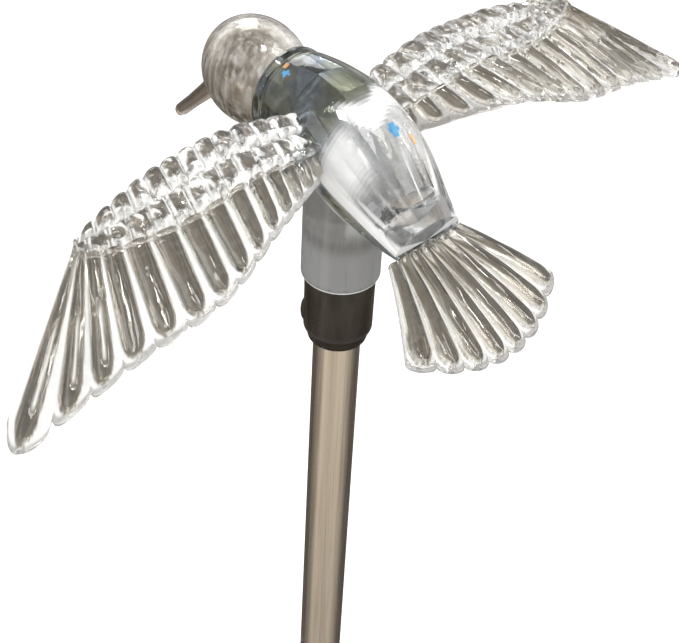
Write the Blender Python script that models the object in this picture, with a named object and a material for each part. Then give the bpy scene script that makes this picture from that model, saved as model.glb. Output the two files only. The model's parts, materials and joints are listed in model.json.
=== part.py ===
"""A solar garden stake light: a clear moulded hummingbird on a steel tube, with a tilting solar unit.

Axes: +Z up along the tube, the bird faces -Y and its left wing points to +X. The origin is on the tube's
axis at ground level, the underside of the spike's flange. Sizes below are in millimetres, as MM converts.
"""
import math

import bmesh
import bpy
from mathutils import Matrix, Vector

MM = 0.001
GAP = 0.3                   # clearance left between neighbouring pieces
OVERCUT = 1.0               # how far a cutter runs past the face it opens

# Stake tube and ground spike
TUBE_R = 4.0
TUBE_WALL = 0.6
TUBE_BOTTOM = 8.0
RIM_Z = 262.0               # lower rim of the clear socket, the figure's own zero height
TUBE_TOP = RIM_Z - 1.6
TUBE_BORE_R = TUBE_R + GAP  # bore of everything that the tube passes through
LEAD_HOLE_R = 1.8           # hole where the lead from the solar unit enters the tube
LEAD_HOLE_ABOVE_CLAMP = 8.0
CABLE_R = 1.1
PLUG_DEPTH = 9.0            # how far the light's plug reaches down the tube
PLUG_HEAD = 1.4
FLANGE_R = 15.0
FLANGE_T = 3.0
CUP_R = 7.5
CUP_TOP = 32.0
SPIKE_DEPTH = 110.0
SPIKE_HALF_W = 11.0
SPIKE_SHOULDER = 6.0        # depth at which the fins start to taper
SPIKE_T = 2.6

# Clear socket, collar and light
SOCKET_R = 6.5
SOCKET_BORE_R = 5.0
SOCKET_BORE_TOP = 9.5
SOCKET_TOP = 21.7
SPIGOT_R = SOCKET_BORE_R - GAP
SPIGOT_TOP = 2.5
LIP_R = 3.9                 # the collar's inner lip, which rests over the tube's end
COLLAR_HEIGHT = 13.3
COLLAR_PROFILE = ((4.8, -COLLAR_HEIGHT), (5.3, -11.9), (5.7, -11.1), (5.75, -10.4), (5.8, -4.0), (5.85, -GAP))
LED_R = 2.45
LED_TOP = 6.4

# Body, as rings along Y: (y, centre z, half width, height above, depth below)
BODY_RINGS = (
    (-13.5, 27.4, 7.2, 7.4, 7.4),
    (-10.0, 27.8, 7.9, 7.8, 8.2),
    (-5.0, 27.4, 8.8, 8.4, 8.8),
    (0.0, 26.2, 9.6, 8.8, 9.0),
    (5.0, 23.9, 9.9, 8.6, 8.4),
    (10.0, 21.2, 9.1, 7.0, 7.0),
    (14.5, 18.4, 7.9, 4.6, 4.6),
    (17.6, 16.6, 7.0, 2.6, 2.2),
)
BODY_WALL = 2.2
BODY_SIDES = 24
SEAT_R = SOCKET_R + GAP
SEAT_TOP = SOCKET_TOP + GAP
LIGHT_HOLE_R = 3.2

# Head and beak
HEAD_CENTRE = (0.0, -20.8, 27.8)
HEAD_RADII = (7.9, 9.5, 8.9)
HEAD_WALL = 1.8
BEAK_ROOT = (0.0, -28.6, 23.2)
BEAK_TIP = (0.0, -40.2, 10.8)

# Wing: leading edge, and feather tips counted from the wing tip; tips between these lie on a smooth curve
WING_ROOT = (9.8, -5.2, 30.4)
WING_BOW = (29.0, -5.4, 32.2)
WRIST = (48.6, -2.0, 29.8)
WRIST_SHARE = 0.62          # share of the feathers that start before the wrist
WING_TIP_FRONT = (70.8, 9.8, 16.4)
WING_FEATHERS = 14
FEATHER_KNOTS = (
    (0, (70.8, 12.7, 15.1)), (1, (63.5, 13.6, 16.9)), (3, (52.8, 14.9, 20.9)),
    (6, (38.1, 15.9, 24.2)), (9, (26.2, 12.7, 27.4)), (13, (10.6, 4.6, 24.2)),
)
FEATHER_NOTCH = 0.09        # depth of the notch between two feather tips, as a share of the chord
WING_T = 1.9

# Tail fan
TAIL_ROOT = (0.8, 18.6, 15.6)
TAIL_TIP = (2.6, 38.2, 8.2)
TAIL_ROOT_HALF = 7.6
TAIL_TIP_HALF = 16.2
TAIL_FEATHERS = 8
TAIL_ROUNDING = 0.32        # how much shorter the outer feathers are, as a share of the middle one
TAIL_NOTCH = 0.07
TAIL_T = 1.8
PLATE_CROWN = 0.8           # how far the middle of a feathered plate arches above its edges

# Solar unit, measured from its tilt pivot: it reaches towards -Y and its panel faces +Z
PIVOT = (0.0, -16.0, 86.0)
BRACKET_FRONT = -9.2
REST_TILT = math.radians(35)
CASE_W = 58.0
CASE_START = 7.0
CASE_CORNER = 6.0
CASE_WALL = 1.8
COVER_T = 2.0
CASE_LOW = COVER_T / 2 + 1.0
CASE_TOP = 16.0
CASE_MID = -(CASE_START + CASE_W / 2)
POCKET_W = CASE_W - 5.0     # recess that holds the panel and its window
POCKET_CORNER = 2.0
LEDGE_W = 3.0
LEDGE_TOP = 13.0
LEDGE_T = 1.6
PANEL_T = 1.0
POST_OFFSET = 22.8
POST_R = 3.0
POST_HOLE_TOP = 9.5
SCREW_R = 1.2
SCREW_HEAD_R = 2.3
SCREW_HEAD_T = 1.6
SCREW_HOLE_R = SCREW_R + GAP
GLAND_Z = 9.0
GLAND_R = 1.7
SEAL_T = 0.4

# Inside the solar unit
BOARD_HALF_W = 17.0
BOARD_Y = (CASE_MID - 4.0, CASE_MID + 20.0)
BOARD_Z = (5.2, 6.4)
BUTTON_Y = CASE_MID + 8.0
BUTTON_R = 3.1
BUTTON_HOLE_R = 3.5
SWITCH_HALF = 4.0
CELL_R = 5.1
CELL_HALF = 22.0
CELL_Y = CASE_MID - 12.6
CRADLE_HALF = (26.4, 6.4)
CRADLE_WALL = 0.8
CRADLE_Z = (1.6, 7.5)
CELL_Z = CRADLE_Z[0] + CRADLE_WALL + 0.4 + CELL_R

# Tilt bolt, knob and clamp
LUG_R = 4.5
TONGUE_HALF = 5.7
LUG_T = 3.0
LUG_BACK = 15.0
BOLT_R = 1.7
BOLT_HEAD_R = 3.4
BOLT_HEAD_T = 2.2
KNOB_R = 5.0
KNOB_LOBES = 6
KNOB_LOBE = 0.7
KNOB_T = 5.0
BRACKET_W = 22.0
BRACKET_H = 14.0
CLAMP_BACK = 7.0
CLAMP_SCREW_X = 8.2


# ---- helpers ---------------------------------------------------------------------------------------------

def clear_scene():
    for obj in list(bpy.data.objects):
        bpy.data.objects.remove(obj)


def material(name, colour, roughness, metallic=0.0, transmission=0.0):
    mat = bpy.data.materials.new(name)
    mat.use_nodes = True
    shader = mat.node_tree.nodes["Principled BSDF"]
    shader.inputs["Base Color"].default_value = (*colour, 1.0)
    shader.inputs["Roughness"].default_value = roughness
    shader.inputs["Metallic"].default_value = metallic
    shader.inputs["Transmission Weight"].default_value = transmission
    mat.diffuse_color = (*colour, 1.0)
    return mat


def empty(name, location_mm, tilt=0.0):
    obj = bpy.data.objects.new(name, None)
    obj.location = Vector(location_mm) * MM
    obj.rotation_euler = (tilt, 0.0, 0.0)
    bpy.context.collection.objects.link(obj)
    return obj


def add_object(name, bm, mat, parent=None, smooth_deg=30.0):
    """Turn a bmesh in millimetres into an object in metres with outward faces."""
    bmesh.ops.scale(bm, vec=(MM, MM, MM), verts=bm.verts)
    bmesh.ops.recalc_face_normals(bm, faces=bm.faces)
    mesh = bpy.data.meshes.new(name)
    bm.to_mesh(mesh)
    bm.free()
    mesh.shade_smooth()
    mesh.set_sharp_from_angle(angle=math.radians(smooth_deg))
    obj = bpy.data.objects.new(name, mesh)
    if mat:
        mesh.materials.append(mat)
    obj.parent = parent
    bpy.context.collection.objects.link(obj)
    return obj


def bridge(bm, low, high):
    """Quads between two rings of the same count; a ring of one vertex gives a cone of triangles."""
    count = max(len(low), len(high))
    for i in range(count):
        j = (i + 1) % count
        corners = [low[i % len(low)], low[j % len(low)], high[j % len(high)], high[i % len(high)]]
        unique = [v for k, v in enumerate(corners) if v not in corners[:k]]
        bm.faces.new(unique)


def turned(profile, sides=24, axis="Z", centre=(0.0, 0.0, 0.0), closed=False):
    """A turned solid from (radius, height) points. closed joins the last point to the first, as a ring."""
    bm = bmesh.new()
    rings = []
    for radius, height in profile:
        count = sides if radius > 0 else 1
        ring = []
        for i in range(count):
            angle = 2 * math.pi * i / sides
            ring.append(bm.verts.new((radius * math.cos(angle), radius * math.sin(angle), height)))
        rings.append(ring)
    for low, high in zip(rings, rings[1:]):
        bridge(bm, low, high)
    if closed:
        bridge(bm, rings[-1], rings[0])
    turn = {"Z": Matrix(), "X": Matrix.Rotation(math.pi / 2, 4, "Y"), "Y": Matrix.Rotation(-math.pi / 2, 4, "X")}
    bm.transform(Matrix.Translation(centre) @ turn[axis])
    return bm


def disc_stack(levels, **where):
    """A turned solid closed on its axis at both ends."""
    first, last = levels[0], levels[-1]
    return turned([(0.0, first[1]), *levels, (0.0, last[1])], **where)


def prism(outline, z_low, z_high):
    """A flat outline raised between two heights."""
    bm = bmesh.new()
    low = [bm.verts.new((x, y, z_low)) for x, y in outline]
    high = [bm.verts.new((x, y, z_high)) for x, y in outline]
    bridge(bm, low, high)
    bm.faces.new(low)
    bm.faces.new(high)
    bmesh.ops.triangulate(bm, faces=[f for f in bm.faces if len(f.verts) > 4])
    return bm


def rounded_outline(width, length, radius, centre=(0.0, 0.0), steps=5):
    """A rectangle with round corners, anticlockwise."""
    points = []
    for quarter, (sx, sy) in enumerate(((1, 1), (-1, 1), (-1, -1), (1, -1))):
        for i in range(steps + 1):
            angle = math.pi / 2 * (quarter + i / steps)
            x = centre[0] + sx * (width / 2 - radius) + radius * math.cos(angle)
            y = centre[1] + sy * (length / 2 - radius) + radius * math.sin(angle)
            points.append((x, y))
    return points


def box(x_range, y_range, z_range):
    outline = [(x_range[0], y_range[0]), (x_range[1], y_range[0]), (x_range[1], y_range[1]),
               (x_range[0], y_range[1])]
    return prism(outline, *z_range)


def combine(obj, bm, operation, name):
    """A Boolean of one more shape, given in the object's own frame."""
    tool = add_object(name, bm, None, obj.parent)
    tool.hide_render = True
    tool.display_type = "WIRE"
    step = obj.modifiers.new(name, "BOOLEAN")
    step.operation = operation
    step.object = tool
    step.solver = "EXACT"


def cut(obj, bm, name):
    combine(obj, bm, "DIFFERENCE", "cut_" + name)


def join(obj, bm, name):
    combine(obj, bm, "UNION", "join_" + name)


# ---- bird ------------------------------------------------------------------------------------------------

def loft(rings, sides):
    """A closed skin over elliptical rings given as (y, centre z, half width, above, below)."""
    bm = bmesh.new()
    loops = []
    for y, zc, half, above, below in rings:
        loop = []
        for i in range(sides):
            angle = 2 * math.pi * (i + 0.5) / sides
            rise = above if math.sin(angle) > 0 else below
            loop.append(bm.verts.new((half * math.cos(angle), y, zc + rise * math.sin(angle))))
        loops.append(loop)
    for low, high in zip(loops, loops[1:]):
        bridge(bm, low, high)
    bm.faces.new(loops[0])
    bm.faces.new(loops[-1])
    bmesh.ops.triangulate(bm, faces=[f for f in bm.faces if len(f.verts) > 4])
    return bm


def inset_rings(rings, wall):
    """The same rings drawn in by the wall, without the two thin ones at the tail end."""
    kept = rings[:-2]
    inner = [(y, zc, half - wall, above - wall, below - wall) for y, zc, half, above, below in kept]
    y, zc, half, above, below = inner[0]
    inner[0] = (y + wall, zc, half, above, below)
    return inner


def build_body(parent, clear):
    obj = add_object("body_shell", loft(BODY_RINGS, BODY_SIDES), clear, parent)
    cut(obj, loft(inset_rings(BODY_RINGS, BODY_WALL), 12), "body_hollow")
    below_belly = 5.0
    cut(obj, disc_stack([(SEAT_R, below_belly), (SEAT_R, SEAT_TOP)], sides=32), "socket_seat")
    light_hole = [(LIGHT_HOLE_R, SEAT_TOP - 7.0), (LIGHT_HOLE_R, SEAT_TOP + 5.0)]
    cut(obj, disc_stack(light_hole, sides=16), "light_hole")


def ellipsoid(centre, radii, sides=20, rows=12):
    profile = [(0.0, -1.0)]
    for i in range(1, rows):
        angle = math.pi * i / rows
        profile.append((math.sin(angle), -math.cos(angle)))
    profile.append((0.0, 1.0))
    bm = turned(profile, sides=sides)
    bm.transform(Matrix.Translation(centre) @ Matrix.Diagonal((*radii, 1.0)))
    return bm


def build_head(parent, clear):
    """A dome, open where it meets the front of the body."""
    obj = add_object("head_shell", ellipsoid(HEAD_CENTRE, HEAD_RADII), clear, parent)
    inner = [r - HEAD_WALL for r in HEAD_RADII]
    cut(obj, ellipsoid(HEAD_CENTRE, inner, 16, 10), "head_hollow")
    neck_y = BODY_RINGS[0][0] - GAP
    beyond = HEAD_RADII[0] + HEAD_RADII[1]
    middle_z = HEAD_CENTRE[2]
    cut(obj, box((-beyond, beyond), (neck_y, 0), (middle_z - beyond, middle_z + beyond)), "head_neck")


def build_beak(parent, clear):
    """A blunt tapered rod, bedded on the front of the head."""
    root, tip = Vector(BEAK_ROOT), Vector(BEAK_TIP)
    length = (tip - root).length
    profile = [(1.9, 0.0), (1.5, length * 0.25), (1.15, length * 0.6), (1.0, length - 0.5), (0.7, length)]
    bm = disc_stack(profile, sides=12)
    bm.transform(Matrix.Translation(root) @ (tip - root).to_track_quat("Z", "Y").to_matrix().to_4x4())
    obj = add_object("beak", bm, clear, parent)
    head = [r + GAP for r in HEAD_RADII]
    cut(obj, ellipsoid(HEAD_CENTRE, head), "beak_seat")


def quadratic(a, b, c, t):
    """A point on the curve that leaves a, passes b half way and ends at c."""
    a, b, c = Vector(a), Vector(b), Vector(c)
    control = b * 2 - (a + c) / 2
    return a * (1 - t) ** 2 + control * 2 * t * (1 - t) + c * t ** 2


def along_knots(knots, number):
    """The point at a number between the numbered knots, on a smooth curve through them."""
    k = max(place for place, knot in enumerate(knots[:-1]) if knot[0] <= number)
    low, high = knots[k], knots[k + 1]
    before, after = knots[max(k - 1, 0)], knots[min(k + 2, len(knots) - 1)]
    a, b, c, d = (Vector(knot[1]) for knot in (before, low, high, after))
    span = high[0] - low[0]
    u = (number - low[0]) / span
    slope_low = (c - a) / (high[0] - before[0]) * span
    slope_high = (d - b) / (after[0] - low[0]) * span
    return (b * (2 * u ** 3 - 3 * u ** 2 + 1) + slope_low * (u ** 3 - 2 * u ** 2 + u)
            + c * (3 * u ** 2 - 2 * u ** 3) + slope_high * (u ** 3 - u ** 2))


def wing_outline():
    """Leading edge and matching rear edge as two rows of points of the same count, root to tip."""
    tips = [along_knots(FEATHER_KNOTS, WING_FEATHERS - 1 - i) for i in range(WING_FEATHERS)]
    front, rear = [], []
    for i, tip in enumerate(tips):
        t = i / (WING_FEATHERS - 1)
        if t < WRIST_SHARE:
            base = quadratic(WING_ROOT, WING_BOW, WRIST, t / WRIST_SHARE)
        else:
            base = Vector(WRIST).lerp(Vector(WING_TIP_FRONT), (t - WRIST_SHARE) / (1 - WRIST_SHARE))
        if i:
            middle = front[-1].lerp(base, 0.5)
            front.append(middle)
            rear.append(tips[i - 1].lerp(tip, 0.5).lerp(middle, FEATHER_NOTCH))
        front.append(base)
        rear.append(tip)
    return front, rear


def plate_between(front, rear, thickness, columns=4, crown=PLATE_CROWN):
    """A closed curved plate between two edges, thickest in the middle of its chord."""
    bm = bmesh.new()
    edge_half, middle_half = 0.28 * thickness, 0.22 * thickness
    top, under = [], []
    for a, b in zip(front, rear):
        chord = b - a
        span = (front[-1] - front[0]).normalized()
        normal = span.cross(chord).normalized()
        if normal.z < 0:
            normal = -normal
        upper_row, lower_row = [], []
        for j in range(columns + 1):
            t = j / columns
            half = edge_half + middle_half * math.sin(math.pi * t)
            lift = crown * math.sin(math.pi * t)
            point = a + chord * t
            upper_row.append(bm.verts.new(point + normal * (lift + half)))
            lower_row.append(bm.verts.new(point + normal * (lift - half)))
        top.append(upper_row)
        under.append(lower_row)
    for rows in (top, under):
        for row_a, row_b in zip(rows, rows[1:]):
            for j in range(columns):
                bm.faces.new((row_a[j], row_a[j + 1], row_b[j + 1], row_b[j]))
    for i in range(len(top) - 1):
        for j in (0, columns):
            bm.faces.new((top[i][j], top[i + 1][j], under[i + 1][j], under[i][j]))
    for i in (0, len(top) - 1):
        for j in range(columns):
            bm.faces.new((top[i][j], top[i][j + 1], under[i][j + 1], under[i][j]))
    return bm


def build_wings(parent, clear):
    front, rear = wing_outline()
    for name, side in (("left_wing", 1), ("right_wing", -1)):
        bm = plate_between(front, rear, WING_T)
        bmesh.ops.scale(bm, vec=(side, 1, 1), verts=bm.verts)
        add_object(name, bm, clear, parent)


def build_tail(parent, clear):
    """A fan of rounded feathers, narrow at the body."""
    root, tip = Vector(TAIL_ROOT), Vector(TAIL_TIP)
    front, rear = [], []
    steps_each = 4
    steps = TAIL_FEATHERS * steps_each
    for i in range(steps + 1):
        t = 2 * i / steps - 1
        across_feather = (i % steps_each) / steps_each
        round_end = 1 - TAIL_NOTCH * (1 - math.sin(math.pi * across_feather))
        fan = 1 - TAIL_ROUNDING * t * t
        start = root + Vector((TAIL_ROOT_HALF * t, 0, 0))
        end = root + (tip - root) * fan + Vector((TAIL_TIP_HALF * t, 0, 0))
        front.append(start)
        rear.append(start.lerp(end, round_end))
    add_object("tail_fan", plate_between(front, rear, TAIL_T, columns=3, crown=0.6), clear, parent)


def build_socket(parent, clear):
    """A clear tube, closed at its top, that seats in the belly and drops over the collar's spigot."""
    rim = 0.5
    levels = [(SOCKET_R - rim, 0.0), (SOCKET_R, rim), (SOCKET_R, SOCKET_TOP)]
    obj = add_object("socket_tube", disc_stack(levels, sides=32), clear, parent)
    cut(obj, disc_stack([(SOCKET_BORE_R, -2.0), (SOCKET_BORE_R, SOCKET_BORE_TOP)], sides=32), "socket_bore")


def build_collar(parent, dark):
    """A sleeve over the tube's top, with a tapered foot and a spigot up into the socket."""
    step_z = TUBE_TOP - RIM_Z + GAP
    outer = [*COLLAR_PROFILE, (SPIGOT_R, -GAP), (SPIGOT_R, SPIGOT_TOP)]
    inner = [(LIP_R, SPIGOT_TOP), (LIP_R, step_z), (TUBE_BORE_R, step_z), (TUBE_BORE_R, -COLLAR_HEIGHT)]
    add_object("collar", turned(outer + inner, sides=32, closed=True), dark, parent)


def build_light(parent, white, lens):
    """The LED and the plug that holds it in the tube's end."""
    tube_end = TUBE_TOP - RIM_Z
    bore = TUBE_R - TUBE_WALL - GAP
    plug_low = tube_end - PLUG_DEPTH
    head_r = LIP_R - 0.4
    holder = [(bore - 0.3, plug_low), (bore, plug_low + 0.5), (bore, tube_end + GAP), (head_r, tube_end + GAP),
              (head_r, tube_end + PLUG_HEAD)]
    add_object("led_holder", disc_stack(holder), white, parent)
    base = tube_end + PLUG_HEAD + GAP
    rim_r, rim_t = LED_R + 0.45, 1.0
    lens_profile = [(rim_r, base), (rim_r, base + rim_t), (LED_R, base + rim_t)]
    dome_low = LED_TOP - LED_R
    for i in range(6):
        angle = math.pi / 2 * i / 6
        lens_profile.append((LED_R * math.cos(angle), dome_low + LED_R * math.sin(angle)))
    add_object("led", turned([(0.0, base), *lens_profile, (0.0, LED_TOP)]), lens, parent)


# ---- stake -----------------------------------------------------------------------------------------------

def ring_profile(inner, outer, low, high):
    return [(outer, low), (outer, high), (inner, high), (inner, low)]


def build_tube(parent, steel, rubber, cable_mat):
    """The tube with its lead hole, the grommet in the hole and the light's cable inside."""
    tube_inner = TUBE_R - TUBE_WALL
    obj = add_object("stake_tube", turned(ring_profile(tube_inner, TUBE_R, TUBE_BOTTOM, TUBE_TOP), closed=True),
                     steel, parent)
    hole_z = PIVOT[2] + BRACKET_H / 2 + LEAD_HOLE_ABOVE_CLAMP
    hole_depth = 2 * TUBE_R
    cut(obj, disc_stack([(LEAD_HOLE_R, 0.0), (LEAD_HOLE_R, hole_depth)], sides=16, axis="Y",
                        centre=(0, -hole_depth, hole_z)), "lead_hole")
    head_in, head_out = -TUBE_R - GAP - 0.1, -TUBE_R - 1.6
    neck_r, head_r, bore_r = LEAD_HOLE_R - GAP, LEAD_HOLE_R + 0.8, LEAD_HOLE_R / 2
    grommet = [(bore_r + 0.1, head_out), (head_r, head_out + 0.2), (head_r, head_in), (neck_r, head_in),
               (neck_r, -tube_inner + 0.4), (bore_r, -tube_inner + 0.4)]
    add_object("tube_grommet", turned(grommet, sides=16, axis="Y", centre=(0, 0, hole_z), closed=True), rubber,
               parent)
    cable = [(CABLE_R, hole_z + 4.0), (CABLE_R, TUBE_TOP - PLUG_DEPTH - GAP)]
    add_object("light_cable", disc_stack(cable, sides=12), cable_mat, parent)


def build_spike(parent, plastic):
    """A flange that stops at the ground, a cup for the tube above it and four tapered fins below."""
    edge = 0.6
    body = [(0.0, 0.0), (FLANGE_R - edge, 0.0), (FLANGE_R, edge), (FLANGE_R, FLANGE_T - edge),
            (FLANGE_R - edge, FLANGE_T), (CUP_R + 2 * edge, FLANGE_T), (CUP_R, FLANGE_T + 2.0),
            (CUP_R - edge, CUP_TOP), (TUBE_BORE_R, CUP_TOP), (TUBE_BORE_R, TUBE_BOTTOM - GAP),
            (0.0, TUBE_BOTTOM - GAP)]
    obj = add_object("ground_spike", turned(body, sides=32), plastic, parent)
    point = SPIKE_T / 2
    outline = [(-SPIKE_HALF_W, -OVERCUT), (-SPIKE_HALF_W, SPIKE_SHOULDER), (-point, SPIKE_DEPTH),
               (point, SPIKE_DEPTH), (SPIKE_HALF_W, SPIKE_SHOULDER), (SPIKE_HALF_W, -OVERCUT)]
    for name, turn in (("fin_x", 0.0), ("fin_y", math.pi / 2)):
        bm = prism(outline, -SPIKE_T / 2, SPIKE_T / 2)
        bm.transform(Matrix.Rotation(turn, 4, "Z") @ Matrix.Rotation(-math.pi / 2, 4, "X"))
        join(obj, bm, name)


# ---- solar unit ------------------------------------------------------------------------------------------

def post_places():
    return [(sx * POST_OFFSET, CASE_MID + sy * POST_OFFSET) for sx in (1, -1) for sy in (1, -1)]


def build_case(parent, plastic, rubber):
    """The upper case: walls, a ledge for the panel, four screw posts and the gland in its rear wall."""
    middle = (0, CASE_MID)
    ledge_low = LEDGE_TOP - LEDGE_T
    inside = CASE_W - 2 * CASE_WALL
    opening = POCKET_W - 2 * LEDGE_W
    block = prism(rounded_outline(CASE_W, CASE_W, CASE_CORNER, middle), CASE_LOW, CASE_TOP)
    obj = add_object("panel_case", block, plastic, parent)
    cut(obj, prism(rounded_outline(inside, inside, CASE_CORNER - CASE_WALL, middle), CASE_LOW - OVERCUT,
                   ledge_low), "case_inside")
    cut(obj, prism(rounded_outline(POCKET_W, POCKET_W, POCKET_CORNER, middle), LEDGE_TOP, CASE_TOP + OVERCUT),
        "panel_pocket")
    cut(obj, prism(rounded_outline(opening, opening, POCKET_CORNER, middle), ledge_low - OVERCUT,
                   LEDGE_TOP + OVERCUT), "panel_opening")
    for i, (x, y) in enumerate(post_places()):
        post = [(POST_R, CASE_LOW + 0.4), (POST_R, LEDGE_TOP - 0.4)]
        join(obj, disc_stack(post, sides=16, centre=(x, y, 0)), f"post_{i + 1}")
        hole = [(SCREW_HOLE_R, CASE_LOW - OVERCUT), (SCREW_HOLE_R, POST_HOLE_TOP)]
        cut(obj, disc_stack(hole, sides=12, centre=(x, y, 0)), f"post_hole_{i + 1}")
    hole_r = GLAND_R + GAP
    gland_hole = [(hole_r, -CASE_START - 5.0), (hole_r, -CASE_START + 3.0)]
    cut(obj, disc_stack(gland_hole, sides=16, axis="Y", centre=(0, 0, GLAND_Z)), "gland_hole")
    outer_face, bore_r, head_r = -CASE_START + GAP, 1.0, 3.2
    gland = [(bore_r, outer_face + 2.7), (head_r - 0.8, outer_face + 2.1), (head_r, outer_face),
             (GLAND_R, outer_face), (GLAND_R, outer_face - 2.9), (bore_r, outer_face - 2.9)]
    add_object("cable_gland", turned(gland, sides=16, axis="Y", centre=(0, 0, GLAND_Z), closed=True), rubber,
               parent)


def build_cover(parent, plastic):
    """The back cover, with the two hinge lugs at its rear edge."""
    half_t = COVER_T / 2
    outline = rounded_outline(CASE_W, CASE_W, CASE_CORNER, (0, CASE_MID))
    obj = add_object("back_cover", prism(outline, -half_t, half_t), plastic, parent)
    for name, side in (("lug_left", 1), ("lug_right", -1)):
        inner = TONGUE_HALF + GAP
        lug = [(-LUG_BACK, half_t - 0.4), (-LUG_BACK, -half_t - 0.4), (-LUG_BACK + 4.0, -LUG_R)]
        for i in range(9):
            angle = -math.pi / 2 + math.pi * i / 8
            lug.append((LUG_R * math.cos(angle), LUG_R * math.sin(angle)))
        lug.append((-CASE_START + 0.5, LUG_R))
        lug.append((-CASE_START + 0.5, half_t - 0.4))
        bm = prism(lug, inner, inner + LUG_T)
        bm.transform(Matrix(((0, 0, side, 0), (1, 0, 0, 0), (0, 1, 0, 0), (0, 0, 0, 1))))
        join(obj, bm, name)
    bore = [(BOLT_R + GAP, -20.0), (BOLT_R + GAP, 20.0)]
    cut(obj, disc_stack(bore, sides=16, axis="X"), "lug_bore")
    for i, (x, y) in enumerate(post_places()):
        hole = [(SCREW_HOLE_R, -half_t - OVERCUT), (SCREW_HOLE_R, half_t + OVERCUT)]
        cut(obj, disc_stack(hole, sides=12, centre=(x, y, 0)), f"cover_hole_{i + 1}")
    button_hole = [(BUTTON_HOLE_R, -half_t - OVERCUT), (BUTTON_HOLE_R, half_t + OVERCUT)]
    cut(obj, disc_stack(button_hole, sides=20, centre=(0, BUTTON_Y, 0)), "button_hole")


def build_seal(parent, rubber):
    """The flat seal between the case and the cover, inside the line of the walls."""
    side = CASE_W - 0.8
    inside = CASE_W - 2 * CASE_WALL + 0.4
    low = COVER_T / 2 + GAP
    outline = rounded_outline(side, side, CASE_CORNER - 0.4, (0, CASE_MID))
    obj = add_object("seal_ring", prism(outline, low, low + SEAL_T), rubber, parent)
    hole = rounded_outline(inside, inside, CASE_CORNER - CASE_WALL, (0, CASE_MID))
    cut(obj, prism(hole, low - OVERCUT, low + SEAL_T + OVERCUT), "seal_inside")


def screw_levels(head_base, direction, tip, chamfered_tip):
    """Profile of a pan-head screw from its head to its tip, along one direction of its axis."""
    head = [(SCREW_HEAD_R - 0.7, head_base - direction * SCREW_HEAD_T),
            (SCREW_HEAD_R, head_base - direction * (SCREW_HEAD_T - 0.7)), (SCREW_HEAD_R, head_base)]
    return [*head, (SCREW_R, head_base), (SCREW_R, tip), (SCREW_R / 2, chamfered_tip)]


def build_cover_screws(parent, steel):
    head_base = -COVER_T / 2 - GAP
    for i, (x, y) in enumerate(post_places()):
        levels = screw_levels(head_base, 1, POST_HOLE_TOP - 1.5, POST_HOLE_TOP - 0.5)
        add_object(f"cover_screw_{i + 1}", disc_stack(levels, sides=12, centre=(x, y, 0)), steel, parent)


def build_panel(parent, silicon, lens):
    """The solar panel on its ledge and the clear window over it."""
    size = POCKET_W - 2 * GAP
    outline = rounded_outline(size, size, POCKET_CORNER - GAP, (0, CASE_MID))
    low = LEDGE_TOP + GAP
    add_object("solar_panel", prism(outline, low, low + PANEL_T), silicon, parent)
    add_object("panel_window", prism(outline, low + PANEL_T + GAP, CASE_TOP - 0.2), lens, parent)


def build_electronics(parent, mats):
    """Board, switch, button and the battery in its cradle with its two contacts."""
    add_object("control_board", box((-BOARD_HALF_W, BOARD_HALF_W), BOARD_Y, BOARD_Z), mats["board"], parent)
    switch = box((-SWITCH_HALF, SWITCH_HALF), (BUTTON_Y - SWITCH_HALF, BUTTON_Y + SWITCH_HALF),
                 (BOARD_Z[0] - 1.9, BOARD_Z[0] - GAP))
    add_object("switch_body", switch, mats["black"], parent)
    half_x, half_y = CRADLE_HALF
    cradle = add_object("battery_cradle", box((-half_x, half_x), (CELL_Y - half_y, CELL_Y + half_y), CRADLE_Z),
                        mats["black"], parent)
    in_x, in_y = half_x - CRADLE_WALL, half_y - CRADLE_WALL
    cut(cradle, box((-in_x, in_x), (CELL_Y - in_y, CELL_Y + in_y),
                    (CRADLE_Z[0] + CRADLE_WALL, CRADLE_Z[1] + OVERCUT)), "cradle_inside")
    cell = [(CELL_R - 0.5, -CELL_HALF), (CELL_R, -CELL_HALF + 0.5), (CELL_R, CELL_HALF - 1.5),
            (CELL_R - 0.6, CELL_HALF - 1.0), (2.0, CELL_HALF - 1.0), (2.0, CELL_HALF)]
    add_object("battery_cell", disc_stack(cell, axis="X", centre=(0, CELL_Y, CELL_Z)), mats["cell"], parent)
    plate = box((CELL_HALF + GAP, CELL_HALF + 0.8), (CELL_Y - 4, CELL_Y + 4), (2.8, 9.5))
    add_object("contact_plate", plate, mats["steel"], parent)
    build_contact_spring(parent, mats["steel"], (-CELL_HALF - GAP, CELL_Y, CELL_Z))
    add_button(parent, mats["rubber"])


def build_contact_spring(parent, steel, start):
    """A conical spring of round wire, as one tube swept along a helix."""
    wire, turns, steps = 0.3, 2.5, 14
    small_r, large_r = 1.8, 3.4
    x_end = -CRADLE_HALF[0] + CRADLE_WALL + wire + 0.4
    bm = bmesh.new()
    rings = []
    count = int(turns * steps)
    for i in range(count + 1):
        t = i / count
        angle = 2 * math.pi * turns * t
        radius = small_r + (large_r - small_r) * t
        along = Vector((0, math.cos(angle), math.sin(angle)))
        x = start[0] - wire + (x_end - start[0] + wire) * t
        centre = Vector((x, start[1], start[2])) + along * radius
        ring = []
        for k in range(6):
            turn = 2 * math.pi * k / 6
            ring.append(bm.verts.new(centre + along * wire * math.cos(turn)
                                     + Vector((wire * math.sin(turn), 0, 0))))
        rings.append(ring)
    for low, high in zip(rings, rings[1:]):
        bridge(bm, low, high)
    bm.faces.new(rings[0])
    bm.faces.new(rings[-1])
    add_object("contact_spring", bm, steel, parent)


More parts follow.
